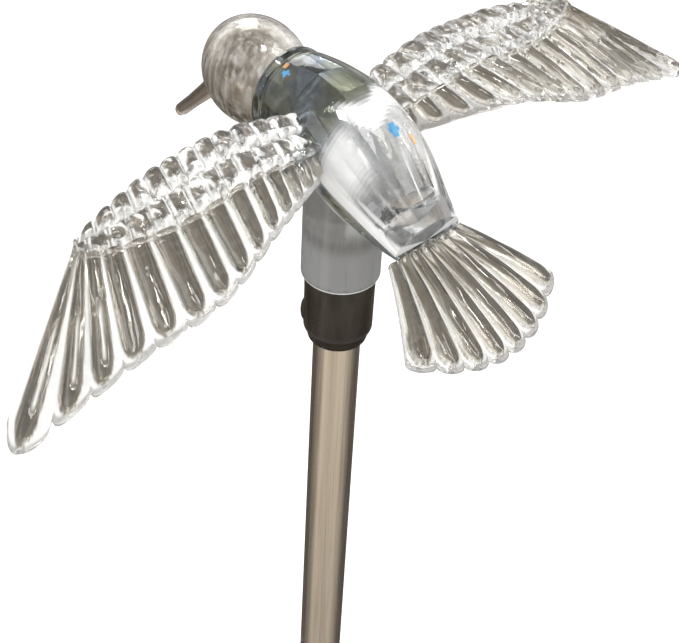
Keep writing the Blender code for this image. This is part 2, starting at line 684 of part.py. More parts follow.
def add_button(parent, rubber):
    """The push button, with its origin on its own centre line."""
    levels = [(BUTTON_R - 0.7, -3.6), (BUTTON_R, -3.0), (BUTTON_R, 1.4)]
    pin = empty("button_axis", (0, BUTTON_Y, 0))
    pin.parent = parent
    add_object("power_button", disc_stack(levels, sides=20), rubber, pin)


# ---- bracket ---------------------------------------------------------------------------------------------

def build_bracket(parent, plastic, steel):
    """Two halves round the tube, held by two screws, with a tongue that carries the tilt bolt."""
    half_w, half_h = BRACKET_W / 2, BRACKET_H / 2
    z = PIVOT[2]
    front_y = BRACKET_FRONT
    obj = add_object("pole_bracket", box((-half_w, half_w), (front_y, -GAP), (z - half_h, z + half_h)), plastic,
                     parent)
    tongue = [(front_y + 0.6, -LUG_R), (front_y + 0.6, LUG_R)]
    for i in range(9):
        angle = math.pi / 2 + math.pi * i / 8
        tongue.append((PIVOT[1] + LUG_R * math.cos(angle), LUG_R * math.sin(angle)))
    bm = prism(tongue, -TONGUE_HALF, TONGUE_HALF)
    bm.transform(Matrix(((0, 0, 1, 0), (1, 0, 0, 0), (0, 1, 0, z), (0, 0, 0, 1))))
    join(obj, bm, "tongue")
    tube_hole = [(TUBE_BORE_R, z - 20), (TUBE_BORE_R, z + 20)]
    cut(obj, disc_stack(tube_hole), "bracket_tube_hole")
    cut(obj, disc_stack([(BOLT_R + GAP, -20.0), (BOLT_R + GAP, 20.0)], sides=16, axis="X",
                        centre=(0, PIVOT[1], z)), "tongue_bore")
    cap = add_object("clamp_cap", box((-half_w, half_w), (GAP, CLAMP_BACK), (z - half_h, z + half_h)), plastic,
                     parent)
    cut(cap, disc_stack(tube_hole), "cap_tube_hole")
    for i, x in enumerate((CLAMP_SCREW_X, -CLAMP_SCREW_X)):
        for piece, label in ((obj, "front"), (cap, "rear")):
            cut(piece, disc_stack([(SCREW_HOLE_R, -7.0), (SCREW_HOLE_R, 12.0)], sides=12, axis="Y",
                                  centre=(x, 0, z)), f"clamp_hole_{label}_{i + 1}")
        levels = list(reversed(screw_levels(CLAMP_BACK + GAP, -1, -5.4, -6.0)))
        add_object(f"clamp_screw_{i + 1}", disc_stack(levels, sides=12, axis="Y", centre=(x, 0, z)), steel,
                   parent)


def build_tilt_bolt(parent, steel, plastic):
    """The bolt through the lugs and the tongue, and the knob that tightens it."""
    outside = TONGUE_HALF + GAP + LUG_T + GAP
    knob_out = outside + KNOB_T
    bolt_end = knob_out - 2.0
    levels = [(BOLT_HEAD_R - 0.4, -outside - BOLT_HEAD_T), (BOLT_HEAD_R, -outside - BOLT_HEAD_T + 0.4),
              (BOLT_HEAD_R, -outside), (BOLT_R, -outside), (BOLT_R, bolt_end)]
    add_object("tilt_bolt", disc_stack(levels, sides=16, axis="X"), steel, parent)
    lobes = []
    steps = 8 * KNOB_LOBES
    for i in range(steps):
        angle = 2 * math.pi * i / steps
        radius = KNOB_R + KNOB_LOBE * math.cos(KNOB_LOBES * angle)
        lobes.append((radius * math.cos(angle), radius * math.sin(angle)))
    bm = prism(lobes, outside, knob_out)
    bm.transform(Matrix.Rotation(math.pi / 2, 4, "Y"))
    pin = empty("knob_axis", (0, 0, 0))
    pin.parent = parent
    knob = add_object("tilt_knob", bm, plastic, pin)
    bore = [(BOLT_R + GAP, outside - OVERCUT), (BOLT_R + GAP, bolt_end + GAP)]
    cut(knob, disc_stack(bore, sides=16, axis="X"), "knob_bore")


def main():
    clear_scene()
    clear = material("clear_acrylic", (0.93, 0.94, 0.95), 0.05, transmission=1.0)
    dark = material("collar_plastic", (0.05, 0.04, 0.035), 0.4)
    steel = material("stainless_steel", (0.62, 0.58, 0.53), 0.3, metallic=1.0)
    black = material("black_plastic", (0.03, 0.03, 0.032), 0.5)
    rubber = material("black_rubber", (0.02, 0.02, 0.02), 0.8)
    white = material("white_plastic", (0.85, 0.85, 0.83), 0.45)
    lens = material("lens_resin", (0.9, 0.92, 0.92), 0.08, transmission=0.9)
    silicon = material("solar_silicon", (0.03, 0.04, 0.10), 0.25)
    board = material("board_green", (0.03, 0.22, 0.10), 0.5)
    cell = material("cell_wrap", (0.10, 0.32, 0.16), 0.4)

    ground = empty("ground", (0, 0, 0))
    figure = empty("figure_axis", (0, 0, RIM_Z))
    tilt = empty("panel_tilt_axis", PIVOT, REST_TILT)

    build_spike(ground, black)
    build_tube(ground, steel, rubber, black)
    build_light(figure, white, lens)
    build_collar(figure, dark)
    build_socket(figure, clear)
    build_body(figure, clear)
    build_head(figure, clear)
    build_beak(figure, clear)
    build_wings(figure, clear)
    build_tail(figure, clear)
    build_bracket(ground, black, steel)
    build_tilt_bolt(tilt, steel, black)
    build_case(tilt, black, rubber)
    build_cover(tilt, black)
    build_seal(tilt, rubber)
    build_cover_screws(tilt, steel)
    build_panel(tilt, silicon, lens)
    mats = {"board": board, "black": black, "cell": cell, "steel": steel, "rubber": rubber}
    build_electronics(tilt, mats)


main()
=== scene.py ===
"""Looks for the solar stake light: clear moulded hummingbird, steel tube, solar unit and spike.

Lengths in the builders are in millimetres and become metres in the mesh.
"""
import json
import math
import random

import bmesh
import bpy
from mathutils import Matrix, Vector
from mathutils.noise import noise as relief


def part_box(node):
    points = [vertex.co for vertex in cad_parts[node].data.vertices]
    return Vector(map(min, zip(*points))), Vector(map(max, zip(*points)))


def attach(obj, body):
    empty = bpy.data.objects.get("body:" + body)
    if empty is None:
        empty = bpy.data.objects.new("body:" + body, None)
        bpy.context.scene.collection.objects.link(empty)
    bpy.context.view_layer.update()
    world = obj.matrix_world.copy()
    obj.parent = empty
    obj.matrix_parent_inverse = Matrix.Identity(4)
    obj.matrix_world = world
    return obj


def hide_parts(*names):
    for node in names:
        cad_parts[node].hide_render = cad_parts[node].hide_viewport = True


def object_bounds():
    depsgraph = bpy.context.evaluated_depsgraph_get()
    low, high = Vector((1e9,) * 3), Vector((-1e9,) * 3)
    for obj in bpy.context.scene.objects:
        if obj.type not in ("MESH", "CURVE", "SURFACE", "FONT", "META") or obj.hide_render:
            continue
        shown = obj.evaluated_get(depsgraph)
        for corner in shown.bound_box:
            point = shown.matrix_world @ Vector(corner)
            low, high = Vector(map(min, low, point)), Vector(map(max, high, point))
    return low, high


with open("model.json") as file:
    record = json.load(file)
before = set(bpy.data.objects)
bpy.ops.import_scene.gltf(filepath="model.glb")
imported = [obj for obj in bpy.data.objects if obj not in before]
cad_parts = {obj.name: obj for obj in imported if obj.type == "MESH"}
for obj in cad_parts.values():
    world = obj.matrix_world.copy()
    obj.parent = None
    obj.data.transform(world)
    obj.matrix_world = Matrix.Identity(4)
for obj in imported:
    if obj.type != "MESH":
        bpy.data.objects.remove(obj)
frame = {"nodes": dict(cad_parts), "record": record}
cad_low, cad_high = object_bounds()

MM = 0.001
RIM_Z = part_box("socket_tube")[0][2] / MM
GROUND_Z = cad_low[2]
FIGURE_PLACE = Matrix.Translation((0, 0, RIM_Z * MM))

CAMERA_AZIMUTH = math.radians(133.7)
CAMERA_ELEVATION = math.radians(40.7)
CAMERA_ROLL = math.radians(3.2)
CAMERA_DISTANCE = 0.2572
CAMERA_LENS = 81.7
TARGET_BELOW_RIM = 10.9
TARGET_ASIDE = 0.3

FLOOR_HALF = 12.0
BACKDROP = (0.97, 0.97, 0.965)
CLOUD_SCALE = 4.5
# world colours: (height of the direction from 0 straight down to 1 straight up, colour)
FAR_STOPS = ((0.0, (0.07, 0.06, 0.05)), (0.16, (0.12, 0.105, 0.088)), (0.34, (0.26, 0.235, 0.205)),
             (0.44, (0.75, 0.73, 0.70)), (0.55, (0.95, 0.95, 0.95)), (1.0, (1.0, 1.0, 1.0)))
NEAR_STOPS = ((0.0, (0.25, 0.22, 0.18)), (0.16, (0.80, 0.72, 0.61)), (0.34, (0.80, 0.74, 0.65)),
              (0.46, (0.70, 0.68, 0.65)), (0.55, (0.90, 0.91, 0.92)), (1.0, (1.0, 1.0, 1.0)))


# ---- camera, light, floor ----------------------------------------------------

def new_object(name, data):
    obj = bpy.data.objects.new(name, data)
    bpy.context.collection.objects.link(obj)
    return obj


def direction(azimuth, elevation):
    """Unit vector away from the bird, by the angle round it, from -Y towards +X, and the angle up."""
    level = math.cos(elevation)
    return Vector((math.sin(azimuth) * level, -math.cos(azimuth) * level, math.sin(elevation)))


def add_camera():
    """Above and behind the bird's left wing, as in the photograph, with the roll of a hand-held shot."""
    back = direction(CAMERA_AZIMUTH, CAMERA_ELEVATION)
    right = Vector((-back.y, back.x, 0)).normalized()
    up = back.cross(right)
    target = Vector((0, 0, (RIM_Z - TARGET_BELOW_RIM) * MM)) + right * (TARGET_ASIDE * MM)
    cam_right = right * math.cos(CAMERA_ROLL) + up * math.sin(CAMERA_ROLL)
    cam_up = up * math.cos(CAMERA_ROLL) - right * math.sin(CAMERA_ROLL)
    pose = Matrix((cam_right, cam_up, back)).transposed().to_4x4()
    pose.translation = target + back * CAMERA_DISTANCE
    data = bpy.data.cameras.new("camera")
    data.sensor_width = 36
    data.lens = CAMERA_LENS
    data.clip_start = 0.01
    camera = new_object("camera", data)
    camera.matrix_world = pose
    bpy.context.scene.camera = camera


def add_area_light(name, azimuth, elevation, distance, size, power, colour=(1, 1, 1)):
    """A soft square lamp on a sphere round the bird, turned to face it."""
    centre = Vector((0, 0, RIM_Z * MM))
    back = direction(math.radians(azimuth), math.radians(elevation))
    data = bpy.data.lights.new(name, "AREA")
    data.size = size
    data.energy = power
    data.color = colour
    lamp = new_object(name, data)
    lamp.location = centre + back * distance
    lamp.rotation_mode = "QUATERNION"
    lamp.rotation_quaternion = back.to_track_quat("Z", "Y")


def add_lights():
    add_area_light("key", 215, 58, distance=0.9, size=0.35, power=3.4, colour=(1.0, 0.98, 0.95))
    add_area_light("fill", 70, 35, distance=1.0, size=0.5, power=1.8, colour=(0.95, 0.97, 1.0))
    add_area_light("top", 150, 80, distance=0.8, size=0.12, power=1.8)
    add_area_light("front", 330, 30, distance=1.0, size=0.4, power=2.0)


def add_world():
    """White above; below the horizon warm beige towards the camera's side and brown-grey on the far side.

    Clear plastic shows the far side through itself, and the steel tube mirrors the near side. The camera
    itself sees a plain white backdrop.
    """
    world = bpy.data.worlds.new("world")
    bpy.context.scene.world = world
    world.use_nodes = True
    nodes, links = world.node_tree.nodes, world.node_tree.links
    background = nodes["Background"]
    coords = nodes.new("ShaderNodeTexCoord")
    split = nodes.new("ShaderNodeSeparateXYZ")
    links.new(coords.outputs["Generated"], split.inputs[0])
    far = world_ramp(nodes, links, split.outputs["Z"], FAR_STOPS)
    near = world_ramp(nodes, links, split.outputs["Z"], NEAR_STOPS)
    facing = nodes.new("ShaderNodeVectorMath")
    facing.operation = "DOT_PRODUCT"
    facing.inputs[1].default_value = direction(CAMERA_AZIMUTH, 0)
    links.new(coords.outputs["Generated"], facing.inputs[0])
    side = map_range(nodes, links, facing.outputs["Value"], -0.25, 0.5, 0, 1)
    sides = mix_colour(nodes, links, side, far, near)
    clouds = nodes.new("ShaderNodeTexNoise")
    clouds.inputs["Scale"].default_value = CLOUD_SCALE
    clouds.inputs["Detail"].default_value = 3
    links.new(coords.outputs["Generated"], clouds.inputs["Vector"])
    patch = map_range(nodes, links, clouds.outputs[0], 0.35, 0.65, 0.65, 1.35)
    shade = mix_colour(nodes, links, 1.0, sides, patch, "MULTIPLY")
    path = nodes.new("ShaderNodeLightPath")
    plain = mix_colour(nodes, links, path.outputs["Is Camera Ray"], shade, BACKDROP)
    links.new(plain, background.inputs["Color"])
    background.inputs["Strength"].default_value = 1.05


def world_ramp(nodes, links, height, stops):
    """Colour by the height of the direction, from -1 straight down to 1 straight up."""
    return colour_ramp(nodes, links, map_range(nodes, links, height, -1, 1, 0, 1), stops)


def add_floor():
    mesh = bpy.data.meshes.new("studio_floor")
    corners = [(x * FLOOR_HALF, y * FLOOR_HALF, GROUND_Z) for x, y in ((-1, -1), (1, -1), (1, 1), (-1, 1))]
    mesh.from_pydata(corners, [], [(0, 1, 2, 3)])
    paper, _, _, shader = new_material("floor_paper")
    shader.inputs["Base Color"].default_value = (0.93, 0.93, 0.925, 1)
    shader.inputs["Roughness"].default_value = 0.9
    mesh.materials.append(paper)
    floor = new_object("studio_floor", mesh)
    # clear plastic and steel show the darker world, not white paper
    floor.visible_transmission = False
    floor.visible_glossy = False


# ---- materials ---------------------------------------------------------------

# scales of the noises, in features per metre
WEAR_SCALE = 90
PATCH_SCALE = 170
HAZE_SCALE = 260
GLOSS_SCALE = 400
WAVE_SCALE = 420
FLAKE_SCALE = 700
STREAK_SCALE = 1100
DRAW_SCALE = 3500
GRAIN_SCALE = 4200
ACRYLIC_IOR = 1.49
# colours of painted glints of split light
ORANGE_GLINT = (0.85, 0.42, 0.16)
BLUE_GLINT = (0.10, 0.42, 0.80)


def new_material(name):
    mat = bpy.data.materials.new(name)
    mat.use_nodes = True
    return mat, mat.node_tree.nodes, mat.node_tree.links, mat.node_tree.nodes["Principled BSDF"]


def map_range(nodes, links, value, from_low, from_high, to_low, to_high):
    span = nodes.new("ShaderNodeMapRange")
    span.inputs["From Min"].default_value = from_low
    span.inputs["From Max"].default_value = from_high
    span.inputs["To Min"].default_value = to_low
    span.inputs["To Max"].default_value = to_high
    links.new(value, span.inputs["Value"])
    return span.outputs[0]


def mix_colour(nodes, links, factor, low, high, blend="MIX"):
    """Mix of two colours; each of factor, low and high is a socket or a plain value."""
    mix = nodes.new("ShaderNodeMix")
    mix.data_type = "RGBA"
    mix.blend_type = blend
    for socket, value in ((mix.inputs[0], factor), (mix.inputs[6], low), (mix.inputs[7], high)):
        if isinstance(value, bpy.types.NodeSocket):
            links.new(value, socket)
        else:
            socket.default_value = (*value, 1) if isinstance(value, tuple) else value
    return mix.outputs[2]


def noise(nodes, links, scale, detail=3.0, stretch=(1, 1, 1), distortion=0.0):
    """Noise on object coordinates, in features per metre along each axis."""
    coords = nodes.new("ShaderNodeTexCoord")
    mapping = nodes.new("ShaderNodeMapping")
    mapping.inputs["Scale"].default_value = [scale * s for s in stretch]
    texture = nodes.new("ShaderNodeTexNoise")
    texture.inputs["Scale"].default_value = 1.0
    texture.inputs["Detail"].default_value = detail
    texture.inputs["Distortion"].default_value = distortion
    links.new(coords.outputs["Object"], mapping.inputs["Vector"])
    links.new(mapping.outputs[0], texture.inputs["Vector"])
    return texture.outputs[0]


def colour_ramp(nodes, links, factor, stops):
    """Colour by a factor from 0 to 1, through (position, colour) stops."""
    ramp = nodes.new("ShaderNodeValToRGB")
    elements = ramp.color_ramp.elements
    elements[0].position, elements[1].position = stops[0][0], stops[-1][0]
    elements[0].color, elements[1].color = (*stops[0][1], 1), (*stops[-1][1], 1)
    for position, colour in stops[1:-1]:
        elements.new(position).color = (*colour, 1)
    links.new(factor, ramp.inputs[0])
    return ramp.outputs[0]


def noise_colour(nodes, links, factor, low, high):
    """Spread the middle of a noise's range over two colours."""
    return colour_ramp(nodes, links, factor, ((0.3, low), (0.7, high)))


def ranged(nodes, links, factor, low, high):
    """Spread the middle of a noise's range over two values."""
    return map_range(nodes, links, factor, 0.3, 0.7, low, high)


def add_bump(nodes, links, shader, factor, depth_mm, strength=1.0):
    bump = nodes.new("ShaderNodeBump")
    bump.inputs["Distance"].default_value = depth_mm * MM
    bump.inputs["Strength"].default_value = strength
    links.new(factor, bump.inputs["Height"])
    links.new(bump.outputs[0], shader.inputs["Normal"])


def attribute(nodes, name):
    node = nodes.new("ShaderNodeAttribute")
    node.attribute_name = name
    return node.outputs["Fac"]


def clear_plastic(name, edge_tint, core_tint, wave_depth=0.03, milk_tint=(0.95, 0.95, 0.94), patch_tint=None,
                  streaks=(1, 1, 1), streak_milk=0.0, glints=False):
    """Moulded acrylic, read from attributes of the mesh.

    core is 1 where the moulding is thickest and smokiest, and also where shade is painted, as in the
    stripe along the body's side. milk is 1 where it is white, partly from frost and partly as a
    painted highlight, as in the grooves between feathers. streak_milk adds faint frosted streaks, stretched
    along the given axes. With glints, the attribute glint paints a glint of split light on a face: 0.5 is
    orange and
    1 is blue.
    """
    mat, nodes, links, shader = new_material(name)
    shader.inputs["IOR"].default_value = ACRYLIC_IOR
    core = attribute(nodes, "core")
    if patch_tint:
        patches = map_range(nodes, links, noise(nodes, links, PATCH_SCALE, 1), 0.45, 0.6, 0, 1)
        core_tint = mix_colour(nodes, links, patches, core_tint, patch_tint)
    # smoky tint, which also carries painted shade
    smoke_and_shade_colour = mix_colour(nodes, links, core, edge_tint, core_tint)
    streak_noise = noise(nodes, links, STREAK_SCALE, 4, streaks)
    streak = map_range(nodes, links, streak_noise, 0.45, 0.7, 0, streak_milk)
    milk_sum = nodes.new("ShaderNodeMath")
    milk_sum.use_clamp = True
    links.new(attribute(nodes, "milk"), milk_sum.inputs[0])
    links.new(streak, milk_sum.inputs[1])
    milk = milk_sum.outputs[0]
    # white of frost and of painted highlights, over the smoky tint
    tint = mix_colour(nodes, links, milk, smoke_and_shade_colour, milk_tint)
    # painted glints of split light
    if glints:
        glint = attribute(nodes, "glint")
        is_blue = map_range(nodes, links, glint, 0.6, 0.9, 0, 1)
        is_lit = map_range(nodes, links, glint, 0.1, 0.4, 0, 1)
        hue = mix_colour(nodes, links, is_blue, ORANGE_GLINT, BLUE_GLINT)
        tint = mix_colour(nodes, links, is_lit, tint, hue)
    links.new(tint, shader.inputs["Base Color"])
    links.new(map_range(nodes, links, milk, 0, 1, 1.0, 0.3), shader.inputs["Transmission Weight"])
    haze = ranged(nodes, links, noise(nodes, links, HAZE_SCALE, 4), 0.0, 0.05)
    rough = nodes.new("ShaderNodeMath")
    links.new(map_range(nodes, links, milk, 0, 1, 0.015, 0.12), rough.inputs[0])
    links.new(haze, rough.inputs[1])
    links.new(rough.outputs[0], shader.inputs["Roughness"])
    add_bump(nodes, links, shader, noise(nodes, links, WAVE_SCALE, 2, distortion=0.6), wave_depth)
    return mat


def moulded_plastic(name, dark, light, roughness, grain_mm=0.02):
    """Opaque plastic with a fine eroded grain and a little wear in tone."""
    mat, nodes, links, shader = new_material(name)
    tone = noise(nodes, links, WEAR_SCALE, 5)
    links.new(noise_colour(nodes, links, tone, dark, light), shader.inputs["Base Color"])
    links.new(ranged(nodes, links, noise(nodes, links, GLOSS_SCALE, 3), roughness - 0.07, roughness + 0.09),
              shader.inputs["Roughness"])
    add_bump(nodes, links, shader, noise(nodes, links, GRAIN_SCALE, 2), grain_mm, 0.6)
    return mat


def drawn_steel(name, dark, light, roughness, along=(1, 1, 0.02)):
    """Satin steel with fine lines along its draw direction."""
    mat, nodes, links, shader = new_material(name)
    shader.inputs["Metallic"].default_value = 1.0
    lines = noise(nodes, links, DRAW_SCALE, 3, along)
    links.new(noise_colour(nodes, links, lines, dark, light), shader.inputs["Base Color"])
    links.new(ranged(nodes, links, lines, roughness - 0.05, roughness + 0.1), shader.inputs["Roughness"])
    add_bump(nodes, links, shader, lines, 0.004, 0.5)
    return mat


def solar_silicon():
    """Polycrystalline cells: blue-black flakes."""
    mat, nodes, links, shader = new_material("solar_silicon")
    coords = nodes.new("ShaderNodeTexCoord")
    flakes = nodes.new("ShaderNodeTexVoronoi")
    flakes.inputs["Scale"].default_value = FLAKE_SCALE
    links.new(coords.outputs["Object"], flakes.inputs["Vector"])
    grey = nodes.new("ShaderNodeSeparateColor")
    links.new(flakes.outputs["Color"], grey.inputs[0])
    blues = ((0.1, (0.008, 0.012, 0.045)), (0.9, (0.03, 0.06, 0.17)))
    links.new(colour_ramp(nodes, links, grey.outputs[0], blues), shader.inputs["Base Color"])
    shader.inputs["Roughness"].default_value = 0.28
    shader.inputs["Metallic"].default_value = 0.35
    return mat


def build_materials():
    """One material for each part of the clear figure, and one for each other material slot of the record."""
    return {
        # smoky brown on the wings' ridges and white in their grooves: partly real tint and frost, partly
        # painted shade and painted highlight
        "wing": clear_plastic("clear_wing", (0.96, 0.96, 0.95), (0.73, 0.69, 0.61), 0.03,
                              (0.95, 0.95, 0.93), streak_milk=0.08),
        # body: smoky blue-grey in front; its attributes also carry painted shade, painted highlights and
        # painted glints
        "body": clear_plastic("clear_body", (0.985, 0.99, 0.995), (0.30, 0.36, 0.44), 0.05,
                              patch_tint=(0.44, 0.46, 0.32), streaks=(1, 0.2, 1), streak_milk=0.05,
                              glints=True),
        # head: even smoky tint; the white towards the neck and the bird's right is a painted highlight
        "head": clear_plastic("clear_head", (0.97, 0.96, 0.94), (0.70, 0.64, 0.54), 0.02,
                              streaks=(1, 1, 0.06), streak_milk=0.40),
        "beak": clear_plastic("clear_beak", (0.80, 0.75, 0.70), (0.55, 0.48, 0.43), 0.02),
        "socket": clear_plastic("clear_socket", (0.94, 0.95, 0.96), (0.42, 0.42, 0.41), 0.02,
                                (0.25, 0.25, 0.245), streaks=(1, 1, 0.10), streak_milk=0.3),
        "collar_plastic": moulded_plastic("collar_brown", (0.007, 0.005, 0.003), (0.028, 0.019, 0.013),
                                          0.20, grain_mm=0.008),
        # the steel's warm beige stands in for the brown surroundings it mirrors: a painted reflection tint
        "stainless_steel": drawn_steel("stainless_tube", (0.56, 0.51, 0.455), (0.68, 0.63, 0.57), 0.20),
        "steel_fittings": drawn_steel("plated_steel", (0.52, 0.52, 0.53), (0.70, 0.70, 0.71), 0.28,
                                      along=(1, 1, 1)),
        "black_plastic": moulded_plastic("black_plastic", (0.012, 0.012, 0.013), (0.026, 0.026, 0.028), 0.46),
        "black_rubber": moulded_plastic("black_rubber", (0.010, 0.010, 0.010), (0.020, 0.020, 0.020), 0.75),
        "white_plastic": moulded_plastic("white_plastic", (0.74, 0.74, 0.71), (0.84, 0.84, 0.82), 0.42),
        "lens_resin": clear_plastic("lens_resin", (0.96, 0.97, 0.97), (0.9, 0.92, 0.92), 0.01),
        "solar_silicon": solar_silicon(),
        "board_green": moulded_plastic("board_green", (0.012, 0.10, 0.045), (0.02, 0.17, 0.08), 0.35),
        "cell_wrap": moulded_plastic("cell_wrap", (0.05, 0.22, 0.10), (0.08, 0.30, 0.15), 0.32),
        "cable_sheath": moulded_plastic("cable_sheath", (0.02, 0.02, 0.02), (0.04, 0.04, 0.04), 0.5),
    }


MATS = build_materials()


# ---- mesh helpers ------------------------------------------------------------

def place_mesh(name, bm, place):
    """A bmesh in millimetres becomes a mesh in metres, moved to its place."""
    bmesh.ops.scale(bm, vec=(MM, MM, MM), verts=bm.verts)
    bm.transform(place)
    bmesh.ops.recalc_face_normals(bm, faces=bm.faces)
    mesh = bpy.data.meshes.new(name)
    bm.to_mesh(mesh)
    bm.free()
    return mesh


def add_piece(name, bm, mat, body, replaces=(), place=Matrix(), smooth_deg=35.0):
    """A finished piece that rides on a CAD body."""
    mesh = place_mesh(name, bm, place)
    mesh.shade_smooth()
    mesh.set_sharp_from_angle(angle=math.radians(smooth_deg))
    mesh.materials.append(mat)
    obj = new_object(name, mesh)
    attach(obj, body)
    if replaces:
        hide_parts(*replaces)
    return obj


def add_clear(name, replaced, bm, look, smooth_deg):
    """A clear moulding of the bird, in the place of a CAD piece."""
    return add_piece(name, bm, MATS[look], "figure", [replaced], FIGURE_PLACE, smooth_deg)


def bridge(bm, low, high):
    """Quads between two rings of the same count; a ring of one vertex gives a cone of triangles."""
    count = max(len(low), len(high))
    for i in range(count):
        j = (i + 1) % count
        corners = [low[i % len(low)], low[j % len(low)], high[j % len(high)], high[i % len(high)]]
        unique = [v for k, v in enumerate(corners) if v not in corners[:k]]
        bm.faces.new(unique)


def turned(profile, sides=96, closed=False):
    """A turned solid from (radius, height) points; closed joins the last point to the first, as a ring."""
    bm = bmesh.new()
    rings = []
    for radius, height in profile:
        count = sides if radius > 0 else 1
        ring = []
        for i in range(count):
            angle = 2 * math.pi * i / sides
            ring.append(bm.verts.new((radius * math.cos(angle), radius * math.sin(angle), height)))
        rings.append(ring)
    for low, high in zip(rings, rings[1:]):
        bridge(bm, low, high)
    if closed:
        bridge(bm, rings[-1], rings[0])
    return bm


def cylinder(radius, low, high, sides):
    return turned([(0, low), (radius, low), (radius, high), (0, high)], sides)


def ellipsoid(centre, radii, sides, rows):
    profile = [(0.0, -1.0)]
    for i in range(1, rows):
        angle = math.pi * i / rows
        profile.append((math.sin(angle), -math.cos(angle)))
    profile.append((0.0, 1.0))
    bm = turned(profile, sides)
    bm.transform(Matrix.Translation(centre) @ Matrix.Diagonal((*radii, 1.0)))
    return bm


def arc(centre_r, centre_z, radius, start_deg, end_deg, steps=6):
    """Profile points round a fillet, in the (radius, height) plane."""
    points = []
    for i in range(steps + 1):
        angle = math.radians(start_deg + (end_deg - start_deg) * i / steps)
        points.append((centre_r + radius * math.cos(angle), centre_z + radius * math.sin(angle)))
    return points


def prism(outline, z_low, z_high):
    """An upright solid over a plan of (x, y) corners."""
    bm = bmesh.new()
    low = [bm.verts.new((x, y, z_low)) for x, y in outline]
    high = [bm.verts.new((x, y, z_high)) for x, y in outline]
    bridge(bm, low, high)
    bm.faces.new(low)
    bm.faces.new(high)
    return bm


def smooth(x, low, high):
    """0 below low, 1 above high and smooth between."""
    x = max(0.0, min(1.0, (x - low) / (high - low)))
    return x * x * (3 - 2 * x)


def bake_modifiers(obj):
    """Replace the mesh by its evaluated form, so that no modifier is left."""
    graph = bpy.context.evaluated_depsgraph_get()
    done = bpy.data.meshes.new_from_object(obj.evaluated_get(graph))
    obj.modifiers.clear()
    obj.data = done


def cut_away(obj, bm, name):
    """Cut a shape, in millimetres on the bird, out of a piece."""
    tool = new_object(name, place_mesh(name, bm, FIGURE_PLACE))
    step = obj.modifiers.new(name, "BOOLEAN")
    step.operation = "DIFFERENCE"
    step.object = tool
    step.solver = "EXACT"
    bake_modifiers(obj)
    bpy.data.objects.remove(tool)


def paint(obj, **amounts):
    """Set attributes such as core and milk from functions of a point, in millimetres on the bird."""
    for name, amount in amounts.items():
        layer = obj.data.attributes.new(name, "FLOAT", "POINT")
        for vertex, value in zip(obj.data.vertices, layer.data):
            x, y, z = vertex.co / MM
            value.value = max(0.0, min(1.0, amount(x, y, z - RIM_Z)))


# ---- feathered mouldings -----------------------------------------------------

WING_ROOT = (9.4, -5.2, 30.4)
WING_BOW = (29.0, -5.6, 32.2)
WRIST = (48.6, -2.0, 29.8)
WING_TIP_FRONT = (70.4, 9.6, 16.5)
WING_FEATHERS = 14
WING_SCALES = 12            # rounded covert scales in a row along the leading edge
WING_LEAD = 0.4             # how far a feather's end leans to the wing tip, as a share of half its width
# feathers that set the shape, counted from the wing tip: number, then the tip's x, y, z, the share along the
# leading edge, and the reach of the coverts as a share of the chord; the rest lie on smooth curves between
WING_KNOTS = (
    (0, (70.5, 12.6, 15.2, 1.00, 0.08)), (1, (63.5, 13.6, 16.9, 0.985, 0.12)),
    (3, (52.8, 14.9, 20.9, 0.88, 0.28)), (6, (38.1, 15.9, 24.2, 0.57, 0.46)),
    (9, (26.2, 12.7, 27.4, 0.24, 0.52)), (13, (10.6, 4.6, 24.2, 0.0, 0.65)),
)
TAIL_ROOT = (0.8, 17.6, 16.0)
TAIL_TIP = (2.6, 38.0, 8.4)
TAIL_ROOT_HALF = 7.4
TAIL_TIP_HALF = 16.4
TAIL_FEATHERS = 8
TAIL_ROUNDING = 0.32        # how much shorter the outer feathers are, as a share of the middle ones
COLUMNS_PER_FEATHER = 20
PLATE_THICK = 0.9           # under the ridges
RIM_WIDTH = 1.0             # thin clear rim beyond the end of each feather's ridge
ROOT_FILL = 0.84            # share of a feather's width that its ridge takes at the coverts
COVERT_LUMPS = 0.75         # lumps in the coverts, per millimetre
SCALE_ROW = 20              # looks kept for each row of scales


def along_knots(knots, number):
    """Values at a number between the numbered knots, on smooth curves through them."""
    k = max(place for place, knot in enumerate(knots[:-1]) if knot[0] <= number)
    low, high = knots[k], knots[k + 1]
    before, after = knots[max(k - 1, 0)], knots[min(k + 2, len(knots) - 1)]
    span = high[0] - low[0]
    u = (number - low[0]) / span
    values = []
    for a, b, c, d in zip(before[1], low[1], high[1], after[1]):
        slope_low = (c - a) / (high[0] - before[0]) * span
        slope_high = (d - b) / (after[0] - low[0]) * span
        values.append(b * (2 * u ** 3 - 3 * u ** 2 + 1) + slope_low * (u ** 3 - 2 * u ** 2 + u)
                      + c * (3 * u ** 2 - 2 * u ** 3) + slope_high * (u ** 3 - u ** 2))
    return values


def quadratic(a, b, c, t):
    """A point on the curve that leaves a, passes b half way and ends at c."""
    a, b, c = Vector(a), Vector(b), Vector(c)
    control = b * 2 - (a + c) / 2
    return a * (1 - t) ** 2 + control * 2 * t * (1 - t) + c * t ** 2


def dome(x):
    """Height across a rounded ridge, 1 on its crest and 0 at x = -1 and 1."""
    return math.sqrt(max(0.0, 1 - x * x))


def shared_lines(points, place):
    """Where each feather meets the next, with half a gap beyond the last one at either end."""
    lines = [points[0] + (points[0] - points[1]) / 2]
    lines += [a + (b - a) * place for a, b in zip(points, points[1:])]
    lines.append(points[-1] + (points[-1] - points[-2]) / 2)
    return lines


def tip_bulge(x, lead):
    """Outline of a feather's round end across x = -1 to 1, furthest out at x = -lead."""
    reach = 1 - lead if x < -lead else 1 + lead
    return dome((x + lead) / reach)


